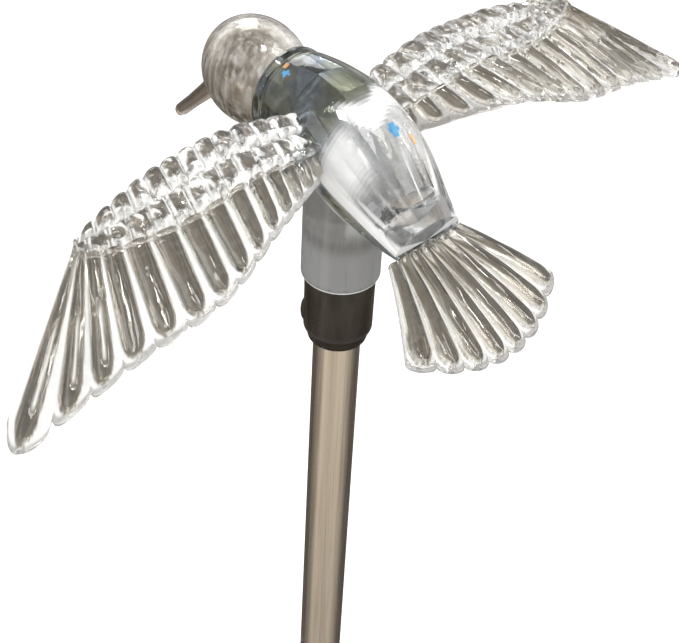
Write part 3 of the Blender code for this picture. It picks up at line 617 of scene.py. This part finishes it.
def feather_columns(fronts, bases, tips, scales, notch, lead, scallop, tip_edge=None):
    """For each column: front, covert end and rear points, place across its feather, feather, width and scale.

    The scale number counts the coverts along the leading edge, whole numbers lying between two scales. notch
    is the depth between two feathers' ends, as a share of their length, and scallop bulges the leading edge
    in front of each scale.
    """
    feathers = len(tips)
    front_lines, base_lines = shared_lines(fronts, 0.5), shared_lines(bases, 0.5)
    scale_lines = shared_lines(scales, 0.5)
    tip_lines = shared_lines(tips, 0.5 + lead / 2)
    if tip_edge:
        front_lines[0], base_lines[0], tip_lines[0] = (Vector(p) for p in tip_edge)
    columns = []
    for i in range(feathers):
        tip_a = tip_lines[i].lerp(base_lines[i], notch)
        tip_b = tip_lines[i + 1].lerp(base_lines[i + 1], notch)
        crest = tips[i] - tip_a.lerp(tip_b, (1 - lead) / 2)
        for k in range(COLUMNS_PER_FEATHER + (i == feathers - 1)):
            share = k / COLUMNS_PER_FEATHER
            x = 2 * share - 1
            front = front_lines[i].lerp(front_lines[i + 1], share)
            base = base_lines[i].lerp(base_lines[i + 1], share)
            rear = tip_a.lerp(tip_b, share) + crest * tip_bulge(x, lead)
            scale = scale_lines[i] + (scale_lines[i + 1] - scale_lines[i]) * share
            front += (front - rear).normalized() * scallop * (dome(2 * (scale % 1) - 1) - 0.4)
            columns.append((front, base, rear, x, i, (tip_a - tip_b).length / 2, scale))
    return columns


def covert(x, y, ridge, swell, window_size):
    """A rounded scale with two beads near its rear edge: (height, core, milk) at
    x, y = -1 to 1. Its smoky middle and white border are partly painted shade and painted highlight.
    """
    pillow = dome(abs(x) ** 1.8) * dome(abs(y) ** 2.0)
    bead = 0.0
    for place in (-0.45, 0.4):
        bead = max(bead, dome(min(1.0, math.hypot((x - place) / 0.33, (y - 0.62) / 0.27))))
    off = max(abs(x), abs(y + 0.22) + 0.06)
    window = 1 - smooth(off, window_size - 0.1, window_size + 0.08)
    border = smooth(off, window_size, window_size + 0.12) * (1 - smooth(max(abs(x), abs(y)), 0.88, 0.98))
    return ridge * swell * pillow + 0.55 * bead, window, border * (0.9 - 0.75 * bead)


def feather(x, s, length, width, ridge, lead, fill, slit):
    """A long smoky ridge with a round end beside a frosted groove: (height, core, milk) at
    x = -1 to 1. The ridge's smoke is partly painted shade, and the groove's white partly painted highlight.

    s runs from 0 at the coverts to 1 at the tip. fill is the ridge's share of the width there, and slit adds
    a frosted slit along its middle.
    """
    end = 1 - RIM_WIDTH / length
    rounding = min(0.35, 0.9 * width / length)
    round_end = dome(max(0.0, (s - end + rounding) / rounding)) if s < end else 0.0
    half = (ROOT_FILL + (fill - ROOT_FILL) * s) * round_end
    if half <= 0.02:
        return 0.0, 0.1, 0.35
    centre = -lead * 0.55 * s
    across = abs(x - centre) / half
    height = min(ridge, 0.5 * width + 0.35) * (1 - min(1.0, across) ** 2.2) ** 0.65
    groove = smooth(across, 0.97, 1.12)
    off_middle = abs(x - centre - 0.1)
    cut = slit * (1 - smooth(off_middle, 0.08, 0.2)) * smooth(s, 0.35, 0.45) * (1 - smooth(s, 0.76, 0.84))
    # the groove's white is frost and painted highlight; the slit's white is frost
    return height * (1 - 0.6 * cut), 1 - groove, max(0.85 * groove, 0.9 * cut) * smooth(s, 0.0, 0.04)


def plate_lines(columns, covert_rows, feather_rows):
    """For each column, the points of the plate's middle from its front edge to its rear edge."""
    lines = []
    for front, base, rear, *_ in columns:
        line = [front.lerp(base, r / covert_rows) for r in range(covert_rows)]
        line += [base.lerp(rear, r / feather_rows) for r in range(feather_rows + 1)]
        lines.append(line)
    return lines


def upward(lines, c, chord):
    """Unit normal of the plate at a column, turned up."""
    half_way = len(lines[0]) // 2
    beside = lines[min(c + 1, len(lines) - 1)][half_way] - lines[max(c - 1, 0)][half_way]
    normal = beside.cross(chord).normalized()
    return -normal if normal.z < 0 else normal


def skin_plate(bm, top, under):
    """Faces over the top, the underside and the edges of a plate, from its lines of vertices."""
    rows, last = len(top[0]) - 1, len(top) - 1
    for grid in (top, under):
        for line_a, line_b in zip(grid, grid[1:]):
            for r in range(rows):
                bm.faces.new((line_a[r], line_a[r + 1], line_b[r + 1], line_b[r]))
    for c in range(last):
        for r in (0, rows):
            bm.faces.new((top[c][r], top[c + 1][r], under[c + 1][r], under[c][r]))
    for c in (0, last):
        for r in range(rows):
            bm.faces.new((top[c][r], top[c][r + 1], under[c][r + 1], under[c][r]))
    bmesh.ops.remove_doubles(bm, verts=bm.verts, dist=0.002)


def feathered_plate(columns, covert_rows, feather_rows, bump_rows, ridge, crown, lead, fill, slits=0,
                    step=0.45):
    """A closed moulding: rounded covert scales in front, then one long rounded ridge for each feather.

    ridge is the height of the ridges and crown the bow of the whole plate. The coverts stand higher than the
    feathers by step, and the first feathers, as many as slits, have a slit.
    """
    total_rows = covert_rows + feather_rows
    lines = plate_lines(columns, covert_rows, feather_rows)
    chance = random.Random(4)
    scale_looks = [(chance.uniform(0.7, 1.0), chance.uniform(0.58, 0.76))
                   for _ in range(SCALE_ROW * bump_rows)]
    bm = bmesh.new()
    core_layer = bm.verts.layers.float.new("core")
    milk_layer = bm.verts.layers.float.new("milk")
    top, under = [], []
    for c, (front, base, rear, x, number, width, scale) in enumerate(columns):
        normal = upward(lines, c, rear - front)
        length = (rear - base).length
        # the outermost feather of a slit wing leans more and is slimmer
        own_lead, own_fill = (1.5 * lead, 0.7 * fill) if number < slits - 2 else (lead, fill)
        top_line, under_line = [], []
        for r in range(total_rows + 1):
            along = r / total_rows
            edge = min(1.0, dome(1 - min(1.0, along / 0.05)), dome(1 - min(1.0, (1 - along) / 0.04)))
            if r < covert_rows:
                s = r / covert_rows * bump_rows
                row = int(s)
                place = scale + 0.5 * row + 1
                swell, window_size = scale_looks[int(place) + SCALE_ROW * row]
                rise, core, milk = covert(2 * (place % 1) - 1, 2 * (s - row) - 1, ridge, swell, window_size)
                lump = relief(lines[c][r] * COVERT_LUMPS)
                rise += 0.45 * lump * min(1.0, 3 * s)
                milk = max(milk, 0.8 * smooth(lump, 0.22, 0.42)) * (1 - smooth(-lump, 0.15, 0.4))
                half_t = PLATE_THICK / 2 + step
            else:
                s = (r - covert_rows) / feather_rows
                rise, core, milk = feather(x, s, length, width, ridge, own_lead, own_fill, number < slits)
                rise += 0.16 * relief(Vector((7.3 * number + 1.7 * x, 4.0 * s, 0))) * min(1.0, 2 * rise)
                half_t = PLATE_THICK / 2 + step * (1 - smooth(s, 0.0, 0.05))
            point = lines[c][r] + normal * (crown * math.sin(math.pi * along))
            upper = bm.verts.new(point + normal * edge * (half_t + rise))
            lower = bm.verts.new(point - normal * edge * (PLATE_THICK / 2 + 0.22 * rise))
            upper[core_layer], upper[milk_layer] = core, milk
            lower[core_layer], lower[milk_layer] = core, milk * 0.5
            top_line.append(upper)
            under_line.append(lower)
        top.append(top_line)
        under.append(under_line)
    skin_plate(bm, top, under)
    return bm


def scale_milk(bm, factor):
    """Make the frost and painted highlights of a moulding fainter, by a factor below 1."""
    layer = bm.verts.layers.float["milk"]
    for vertex in bm.verts:
        vertex[layer] *= factor


def build_wings():
    tips, fronts, bases, scales = [], [], [], []
    for i in range(WING_FEATHERS):
        x, y, z, share, coverts = along_knots(WING_KNOTS, i)
        tip = Vector((x, y, z))
        front = quadratic(WING_ROOT, WING_BOW, WRIST, share)
        tips.append(tip)
        fronts.append(front)
        bases.append(front.lerp(tip, coverts))
        scales.append(WING_SCALES * share)
    wrist = Vector(WRIST)
    tip_edge = (wrist, wrist.lerp(Vector(WING_TIP_FRONT), 0.05), WING_TIP_FRONT)
    columns = feather_columns(fronts, bases, tips, scales, notch=0.06, lead=WING_LEAD, scallop=1.0,
                              tip_edge=tip_edge)
    # painted shade: the right wing keeps only 0.4 of the left wing's frost and painted highlights, so it
    # reads darker
    for name, side, frost_and_light_share in (("left_wing", 1, 1.0), ("right_wing", -1, 0.4)):
        bm = feathered_plate(columns, covert_rows=40, feather_rows=48, bump_rows=2, ridge=1.2, crown=0.8,
                             lead=WING_LEAD, fill=0.66, slits=3)
        scale_milk(bm, frost_and_light_share)
        bmesh.ops.scale(bm, vec=(side, 1, 1), verts=bm.verts)
        add_clear(f"{name}_moulding", name, bm, "wing", 60)


def build_tail():
    root, tip = Vector(TAIL_ROOT), Vector(TAIL_TIP)
    fronts, bases, tips = [], [], []
    for i in range(TAIL_FEATHERS):
        t = 2 * (i + 0.5) / TAIL_FEATHERS - 1
        front = root + Vector((TAIL_ROOT_HALF * t, 0, 0))
        end = root + (tip - root) * (1 - TAIL_ROUNDING * t * t) + Vector((TAIL_TIP_HALF * t, 0, 0))
        fronts.append(front)
        bases.append(front.lerp(end, 0.03))
        tips.append(end)
    columns = feather_columns(fronts, bases, tips, list(range(TAIL_FEATHERS)), notch=0.05, lead=0.0,
                              scallop=0.0)
    bm = feathered_plate(columns, covert_rows=2, feather_rows=56, bump_rows=1, ridge=1.1, crown=0.6,
                         lead=0.0, fill=0.86, step=0.0)
    scale_milk(bm, 0.8)
    add_clear("tail_moulding", "tail_fan", bm, "wing", 50)


# ---- body and head -----------------------------------------------------------

# rings along Y: (y, centre z, half width, height above, depth below)
BODY_RINGS = (
    (-13.5, 27.4, 7.2, 7.4, 7.4), (-10.0, 27.8, 7.9, 7.8, 8.2), (-5.0, 27.4, 8.8, 8.4, 8.8),
    (0.0, 26.2, 9.6, 8.8, 9.0), (5.0, 23.9, 9.9, 8.6, 8.4), (10.0, 21.2, 9.1, 7.0, 7.0),
    (14.5, 18.4, 7.9, 4.6, 4.6), (17.6, 16.6, 7.0, 2.6, 2.2),
)
BODY_STEPS = 60
BODY_SIDES = 144
BODY_RADIUS = 8.0           # about the middle of the body, to turn a depth into a share
HOLLOW_WALL = 2.2
FACET_RINGS = (0.03, 0.14, 0.27, 0.40, 0.56, 0.70, 0.80)
FACET_SIDES = 10
FACET_AREA = 1.5e-6         # inner facets are larger than this, in square metres, and skin faces smaller
# inner facets in one patch of this many degrees by this many millimetres look alike
PATCH_DEGREES = 26
PATCH_LENGTH = 4.5
# holes from below: radius, low end and high end
SOCKET_SEAT = (6.6, 5.0, 21.8)
LIGHT_HOLE = (3.2, 15.0, 27.0)
# painted glints of split light on the back: x, y, radius and the glint's value
GLINTS = ((3.1, -10.9, 0.5, 0.5), (4.1, -9.5, 0.6, 1.0), (-1.9, 7.5, 0.9, 1.0), (-4.6, 8.7, 0.6, 0.5))
FEATHER_WAVE = 9            # half waves of the rump's grooves in half a turn
GROOVE_SHADE_ANGLE = -9           # middle of the painted shade stripe along the side, with painted highlights at its borders, in degrees up from the side
HIGHLIGHT_BAND_Y = 3.6                # middle of the painted highlight band across the back
HEAD_CENTRE = Vector((0.0, -20.8, 27.8))
HEAD_RADII = Vector((7.9, 9.5, 8.9))
HEAD_WALL = 1.8
NECK = (-13.65, 0.0)        # y from where the head is cut off, open towards the body, to past its end
BEAK_ROOT = Vector((0.0, -27.6, 23.9))
BEAK_TIP = Vector((0.0, -40.2, 10.8))


def spline(values, t):
    """Catmull-Rom through equally counted values, t from 0 to 1."""
    spans = len(values) - 1
    place = min(t * spans, spans - 1e-9)
    i = int(place)
    u = place - i
    p0, p1, p2, p3 = (values[max(i - 1, 0)], values[i], values[i + 1], values[min(i + 2, spans)])
    return 0.5 * (2 * p1 + (p2 - p0) * u + (2 * p0 - 5 * p1 + 4 * p2 - p3) * u * u
                  + (3 * p1 - p0 - 3 * p2 + p3) * u ** 3)


def body_ring(t, shrink=0.0):
    """Ring at t = 0 to 1 along the body, drawn in by shrink."""
    y, zc, half, above, below = (spline([ring[k] for ring in BODY_RINGS], t) for k in range(5))
    return y, zc, half - shrink, above - shrink, below - shrink


def loft(rings, sides, phase=0.0):
    """A closed skin over elliptical rings along Y; phase turns the rings by a share of one side."""
    bm = bmesh.new()
    loops = []
    for y, zc, half, above, below in rings:
        loop = []
        for i in range(sides):
            angle = 2 * math.pi * (i + phase) / sides
            rise = above if math.sin(angle) > 0 else below
            loop.append(bm.verts.new((half * math.cos(angle), y, zc + rise * math.sin(angle))))
        loops.append(loop)
    for low, high in zip(loops, loops[1:]):
        bridge(bm, low, high)
    for loop, (y, zc, *_) in ((loops[0], rings[0]), (loops[-1], rings[-1])):
        bridge(bm, loop, [bm.verts.new((0, y, zc))])
    return bm


def facet_hollow(chance):
    """The faceted hollow inside the body, as a loft whose ring points wander a little."""
    bm = loft([body_ring(t, HOLLOW_WALL) for t in FACET_RINGS], FACET_SIDES, phase=0.25)
    for vertex in bm.verts:
        vertex.co += Vector((chance.uniform(-0.3, 0.3), chance.uniform(-0.5, 0.5), chance.uniform(-0.3, 0.3)))
    bmesh.ops.triangulate(bm, faces=bm.faces)
    return bm


def body_skin():
    """The outer loft, with a lip round the neck and shallow feather grooves fanning over the rump."""
    bm = loft([body_ring(i / BODY_STEPS) for i in range(BODY_STEPS + 1)], BODY_SIDES)
    for number, vertex in enumerate(bm.verts):
        ring, side = divmod(number, BODY_SIDES)
        if ring > BODY_STEPS:
            continue
        t, angle = ring / BODY_STEPS, 2 * math.pi * side / BODY_SIDES
        zc = body_ring(t)[1]
        waves = abs(math.sin(FEATHER_WAVE * angle))
        groove = 0.32 * waves * smooth(t, 0.5, 0.72) * smooth(math.sin(angle), -0.1, 0.5)
        lip = 0.45 * (1 - smooth(t, 0.03, 0.06)) - 0.25 * smooth(t, 0.05, 0.07) * (1 - smooth(t, 0.08, 0.12))
        shift = (lip + groove - 0.16) / BODY_RADIUS
        vertex.co.x *= 1 + shift
        vertex.co.z = zc + (vertex.co.z - zc) * (1 + shift)
    return bm


def body_centre(y):
    """Height of the body's middle line at y."""
    for low, high in zip(BODY_RINGS, BODY_RINGS[1:]):
        if y <= high[0]:
            return low[1] + (high[1] - low[1]) * (y - low[0]) / (high[0] - low[0])
    return BODY_RINGS[-1][1]


def facet_looks(angle, right_side, y, front):
    """Smoky tint and frosted white of an inner facet, alike in each patch and drawn at random."""
    cell = random.Random(f"{int((angle + 90) // PATCH_DEGREES)} {right_side} {int((y + 14) // PATCH_LENGTH)}")
    if front > 0.5:
        return cell.uniform(0.2, 1.0), cell.choice((0.0, 0.0, 0.25))
    return cell.choice((0.0, 0.0, 0.0, 0.4)), cell.choice((0.0, 0.0, 0.3))


def skin_looks(angle, right_side, y, front):
    """Smoke and white of an outer face: smoky in front; painted shade in a stripe along the side, with
    painted highlights at its borders; a painted highlight band and painted highlight lines behind; white over
    the rear that is partly frost and partly painted highlight.
    """
    # painted shade of a groove: a dark stripe along the side, with painted highlights at its borders
    off_groove_shade = abs(angle - GROOVE_SHADE_ANGLE)
    groove_shade = (1 - smooth(off_groove_shade, 8, 12)) * smooth(y, 2, 5)
    border = smooth(off_groove_shade, 9, 12) * (1 - smooth(off_groove_shade, 20, 26)) * smooth(y, 0, 3)
    # a painted highlight band across the back, reaching lower on the bird's right
    highlight_band_low = 10 if right_side else 55
    wander = 1.2 * math.sin(math.radians(5 * angle))
    highlight_band = smooth(angle, highlight_band_low, highlight_band_low + 15) * (1 - smooth(abs(y - HIGHLIGHT_BAND_Y - wander), 1.0, 2.8))
    # painted highlight lines along the crests of the rump's grooves
    line = random.Random(f"ray {round(FEATHER_WAVE * angle / 180)} {right_side}")
    start, strength, width = line.uniform(3, 9), line.uniform(0.0, 0.9), line.uniform(0.06, 0.3)
    crest = max(0.0, abs(math.cos(math.radians(FEATHER_WAVE * angle))) - 1 + width) / width
    highlight_rays = crest * strength * smooth(y, start, start + 3) * smooth(angle, 5, 20) * (1 - smooth(y, 14, 16.5))
    # white over the rear, partly frost and partly painted highlight: a haze, stronger on the right, and a
    # patch low on the left flank
    if right_side:
        flank, rear_highlight_amount = 0.0, 0.35
    else:
        flank = 0.75 * smooth(y, 2, 5) * (1 - smooth(y, 8, 13)) * (1 - smooth(angle, 40, 75))
        rear_highlight_amount = 0.2
    haze = rear_highlight_amount * (1 - front) * (1 - smooth(y, 10, 14))
    # frost and painted highlights together; the smoky front and the painted shade stripe go to core
    frost_and_light_share = max(haze, 0.9 * border, 0.85 * highlight_band, highlight_rays, flank)
    return max(front - highlight_band, groove_shade), frost_and_light_share * (1 - groove_shade)


def glint_at(x, y):
    """The painted glint's value at a point on the back, 0 where there is none."""
    return max((hue for place_x, place_y, radius, hue in GLINTS
                if math.hypot(x - place_x, y - place_y) < radius), default=0.0)


def build_body():
    chance = random.Random(11)
    obj = add_clear("body_moulding", "body_shell", body_skin(), "body", 40)
    cut_away(obj, facet_hollow(chance), "body_hollow")
    cut_away(obj, cylinder(*SOCKET_SEAT, sides=64), "socket_seat")
    cut_away(obj, cylinder(*LIGHT_HOLE, sides=32), "light_hole")
    obj.data.set_sharp_from_angle(angle=math.radians(14))
    layers = [obj.data.attributes.new(name, "FLOAT", "FACE").data for name in ("core", "milk", "glint")]
    for face, *looks in zip(obj.data.polygons, *layers):
        x, y, z = face.center / MM
        # degrees up from the side of the body
        angle = math.degrees(math.atan2(z - RIM_Z - body_centre(y), abs(x)))
        front = 1 - smooth(y, 1.0, 4.0)
        glint = 0.0
        if face.area > FACET_AREA:
            core, milk = facet_looks(angle, x < 0, y, front)
        else:
            core, milk = skin_looks(angle, x < 0, y, front)
            if angle > 0:
                glint = glint_at(x, y)
        # a face with a painted glint is frosted, so that its colour shows
        if glint > 0:
            milk = max(milk, 0.7)
        for layer, value in zip(looks, (core, milk, glint)):
            layer.value = value


def build_head():
    head = ellipsoid(HEAD_CENTRE, HEAD_RADII, 72, 48)
    obj = add_clear("head_moulding", "head_shell", head, "head", 40)
    cut_away(obj, ellipsoid(HEAD_CENTRE, [r - HEAD_WALL for r in HEAD_RADII], 56, 36), "head_hollow")
    low, high = NECK
    cut_away(obj, prism([(-12, low), (12, low), (12, high), (-12, high)], 12, 45), "neck_cut")
    obj.data.set_sharp_from_angle(angle=math.radians(35))
    # painted highlight: whiter towards the neck and the bird's right
    paint(obj, core=lambda x, y, z: 0.6, milk=lambda x, y, z: 0.35 * smooth(y - 0.4 * x, -19.0, -14.0))


def build_beak():
    length = (BEAK_TIP - BEAK_ROOT).length
    profile = [(0, 0), (2.3, 0.0), (1.9, length * 0.18), (1.45, length * 0.4), (1.2, length * 0.7)]
    profile += [(1.15, length - 0.8), (0.95, length - 0.25), (0.6, length), (0, length)]
    bm = turned(profile, 32)
    turn = (BEAK_TIP - BEAK_ROOT).to_track_quat("Z", "Y").to_matrix().to_4x4()
    bm.transform(Matrix.Translation(BEAK_ROOT) @ turn)
    obj = add_clear("beak_moulding", "beak", bm, "beak", 50)
    cut_away(obj, ellipsoid(HEAD_CENTRE, [r + 0.02 for r in HEAD_RADII], 72, 48), "beak_seat")
    obj.data.set_sharp_from_angle(angle=math.radians(40))
    paint(obj, core=lambda x, y, z: 0.8)


# ---- socket, collar, tube, light ---------------------------------------------

def build_socket():
    """The clear socket with its blind bore; its rim is painted near white as a highlight, in the wings'
    clearer plastic.
    """
    outer_r, bore_r, top, bore_top = 6.5, 5.0, 21.7, 9.5
    shoulder, inner_lip, outer_lip, rings = 0.8, 0.3, 0.5, 24
    profile = [(0, bore_top)] + arc(bore_r - shoulder, bore_top - shoulder, shoulder, 90, 0)
    profile += arc(bore_r + inner_lip, inner_lip, inner_lip, 180, 270, 4)
    profile += arc(outer_r - outer_lip, outer_lip, outer_lip, 270, 360, 5)
    profile += [(outer_r, outer_lip + (top - outer_lip) * k / rings) for k in range(1, rings + 1)]
    profile.append((0, top))
    obj = add_clear("socket_moulding", "socket_tube", turned(profile), "socket", 50)
    paint(obj, core=lambda x, y, z: smooth(z, 7.0, 9.6), milk=lambda x, y, z: 0.6 if z > 0.6 else 0.95)
    # painted highlight: the outer faces of the rim take the wings' white frost
    obj.data.materials.append(MATS["wing"])
    highlight_rim_radius = 5.9
    for face in obj.data.polygons:
        x, y, z = face.center / MM
        if z - RIM_Z < outer_lip and math.hypot(x, y) > highlight_rim_radius:
            face.material_index = 1


def build_collar():
    """A moulded sleeve with a seam line low down, a tapered foot and the lug left by its mould gate."""
    foot, shoulder, spigot_top = -13.3, -0.28, 2.5
    outer = [(4.35, foot)] + arc(4.75, foot + 0.3, 0.3, 270, 330, 3) + [(5.3, -11.9), (5.5, -11.4)]
    outer += arc(5.55, -10.9, 0.22, -60, 60, 4) + [(5.62, -10.6), (5.78, -10.0), (5.8, -4.0)]
    outer += arc(5.6, -0.55, 0.28, 0, 90, 4)
    outer += [(4.7, shoulder), (4.7, spigot_top), (3.9, spigot_top), (3.9, -1.3), (4.3, -1.3)]
    outer.append((4.3, foot + 0.2))
    plastic = MATS["collar_plastic"]
    add_piece("collar_sleeve", turned(outer, closed=True), plastic, "figure", ["collar"],
              FIGURE_PLACE)
    lug = ellipsoid((5.55, 0, -8.4), (0.75, 1.1, 2.3), 24, 16)
    lug.transform(Matrix.Rotation(math.radians(-46), 4, "Z"))
    add_piece("collar_gate_lug", lug, plastic, "figure", place=FIGURE_PLACE)


def build_tube():
    low, high = (c[2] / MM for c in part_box("stake_tube"))
    outer_r, inner_r, lip = 4.0, 3.4, 0.15
    profile = [(outer_r - lip, low), (outer_r, low + lip), (outer_r, high - lip), (outer_r - lip, high),
               (inner_r, high), (inner_r, low)]
    add_piece("tube_skin", turned(profile, closed=True), MATS["stainless_steel"], "stake",
              ["stake_tube"])


def build_led():
    """A 5 mm LED: epoxy dome over a small metal cup on its lead frame."""
    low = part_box("led")[0][2] / MM - RIM_Z
    top, radius, flange_r, flange_t = 6.4, 2.45, 2.9, 1.0
    dome_low = top - radius
    profile = [(0, low), (flange_r, low), (flange_r, low + flange_t), (radius, low + flange_t)]
    profile += arc(0, dome_low, radius, 0, 84, 10) + [(0, top)]
    add_piece("led_lens", turned(profile, 48), MATS["lens_resin"], "stake", ["led"],
              FIGURE_PLACE, 50)
    cup = [(0, low + 1.2), (0.8, low + 1.2), (1.35, low + 2.5), (1.15, low + 2.5), (0.5, low + 1.7),
           (0, low + 1.7)]
    add_piece("led_cup", turned(cup, 32), MATS["steel_fittings"], "stake",
              place=FIGURE_PLACE)


# ---- solar unit and spike ----------------------------------------------------

PIVOT = (0.0, -16.0, 86.0)
REST_TILT = math.radians(35)
TILT_PLACE = Matrix.Translation(Vector(PIVOT) * MM) @ Matrix.Rotation(REST_TILT, 4, "X")
PANEL_HALF = 26.2
PANEL_MIDDLE = -36.0        # the panel's centre, ahead of the tilt bolt
PANEL_FACE = 14.3           # height of the cells' top faces above the tilt bolt
PANEL_MARGIN = 2.0
CELL_ROWS = 4
CELL_INSET = 0.5            # from the cell's edge to the print
FINGERS = 26
# printed lines: half width and thickness
FINGER = (0.06, 0.03)
BUSBAR = (0.35, 0.06)
CELL_GAP = (0.30, 0.02)
BUSBAR_SHARES = (0.28, 0.72)
# CAD pieces that are copied with round edges: name, body and width of the rounding
ROUNDED = (
    ("panel_case", "solar_unit", 0.6), ("back_cover", "solar_unit", 0.35), ("pole_bracket", "stake", 0.6),
    ("clamp_cap", "stake", 0.6), ("ground_spike", "spike", 0.5), ("tilt_knob", "knob", 0.5),
)


def add_line(bm, centre, span, size, upright):
    """Add a printed line to a bmesh: across the panel at y = centre, or upright at x = centre."""
    half_width, thick = size
    across, along = (centre - half_width, centre + half_width), span
    (x0, x1), (y0, y1) = (across, along) if upright else (along, across)
    strip = prism([(x0, y0), (x1, y0), (x1, y1), (x0, y1)], PANEL_FACE, PANEL_FACE + thick)
    mesh = bpy.data.meshes.new("strip")
    strip.to_mesh(mesh)
    strip.free()
    bm.from_mesh(mesh)
    bpy.data.meshes.remove(mesh)


def build_panel_grid():
    """Printed silver on the cells, fine fingers and two busbars on each, and pale gaps between the cells."""
    side = PANEL_HALF - PANEL_MARGIN
    low, high = PANEL_MIDDLE - side, PANEL_MIDDLE + side
    pitch = (high - low) / CELL_ROWS
    silver = bmesh.new()
    for row in range(CELL_ROWS):
        cell_low, cell_high = low + row * pitch + CELL_INSET, low + (row + 1) * pitch - CELL_INSET
        for i in range(FINGERS):
            x = -side + 2 * side * (i + 0.5) / FINGERS
            add_line(silver, x, (cell_low, cell_high), FINGER, upright=True)
        for share in BUSBAR_SHARES:
            y = cell_low + (cell_high - cell_low) * share
            add_line(silver, y, (-side, side), BUSBAR, upright=False)
    add_piece("panel_silver", silver, MATS["steel_fittings"], "solar_unit",
              place=TILT_PLACE)
    gaps = bmesh.new()
    for row in range(CELL_ROWS + 1):
        add_line(gaps, low + row * pitch, (-side, side), CELL_GAP, upright=False)
    add_piece("panel_gaps", gaps, MATS["white_plastic"], "solar_unit", place=TILT_PLACE)


def round_edges(name, body, width_mm):
    """A copy of a CAD piece with its sharp edges rounded, in its place."""
    source = frame["nodes"][name]
    bm = bmesh.new()
    bm.from_mesh(source.data)
    bm.transform(Matrix.Scale(1 / MM, 4) @ source.matrix_world)
    bmesh.ops.remove_doubles(bm, verts=bm.verts, dist=0.001)
    bmesh.ops.dissolve_limit(bm, angle_limit=math.radians(1), verts=bm.verts, edges=bm.edges)
    obj = add_piece(f"{name}_moulding", bm, MATS["black_plastic"], body, [name])
    step = obj.modifiers.new("edges", "BEVEL")
    step.width = width_mm * MM
    step.segments = 3
    step.limit_method = "ANGLE"
    step.angle_limit = math.radians(40)
    step.harden_normals = True
    bake_modifiers(obj)


# ---- everything else keeps its CAD mesh and gets its material ----------------

def dress_cad():
    slot_of = {part["node"]: part["material_slot"] for part in frame["record"]["subparts"]}
    for name, obj in frame["nodes"].items():
        mat = MATS.get(slot_of[name])
        if mat and obj.material_slots:
            for slot in obj.material_slots:
                slot.material = mat


dress_cad()
add_camera()
add_lights()
add_world()
add_floor()
build_wings()
build_tail()
build_body()
build_head()
build_beak()
build_socket()
build_collar()
build_tube()
build_led()
build_panel_grid()
for piece in ROUNDED:
    round_edges(*piece)
bpy.context.scene.view_settings.view_transform = "Standard"
bpy.context.scene.cycles.transmission_bounces = 16
bpy.context.scene.cycles.max_bounces = 24
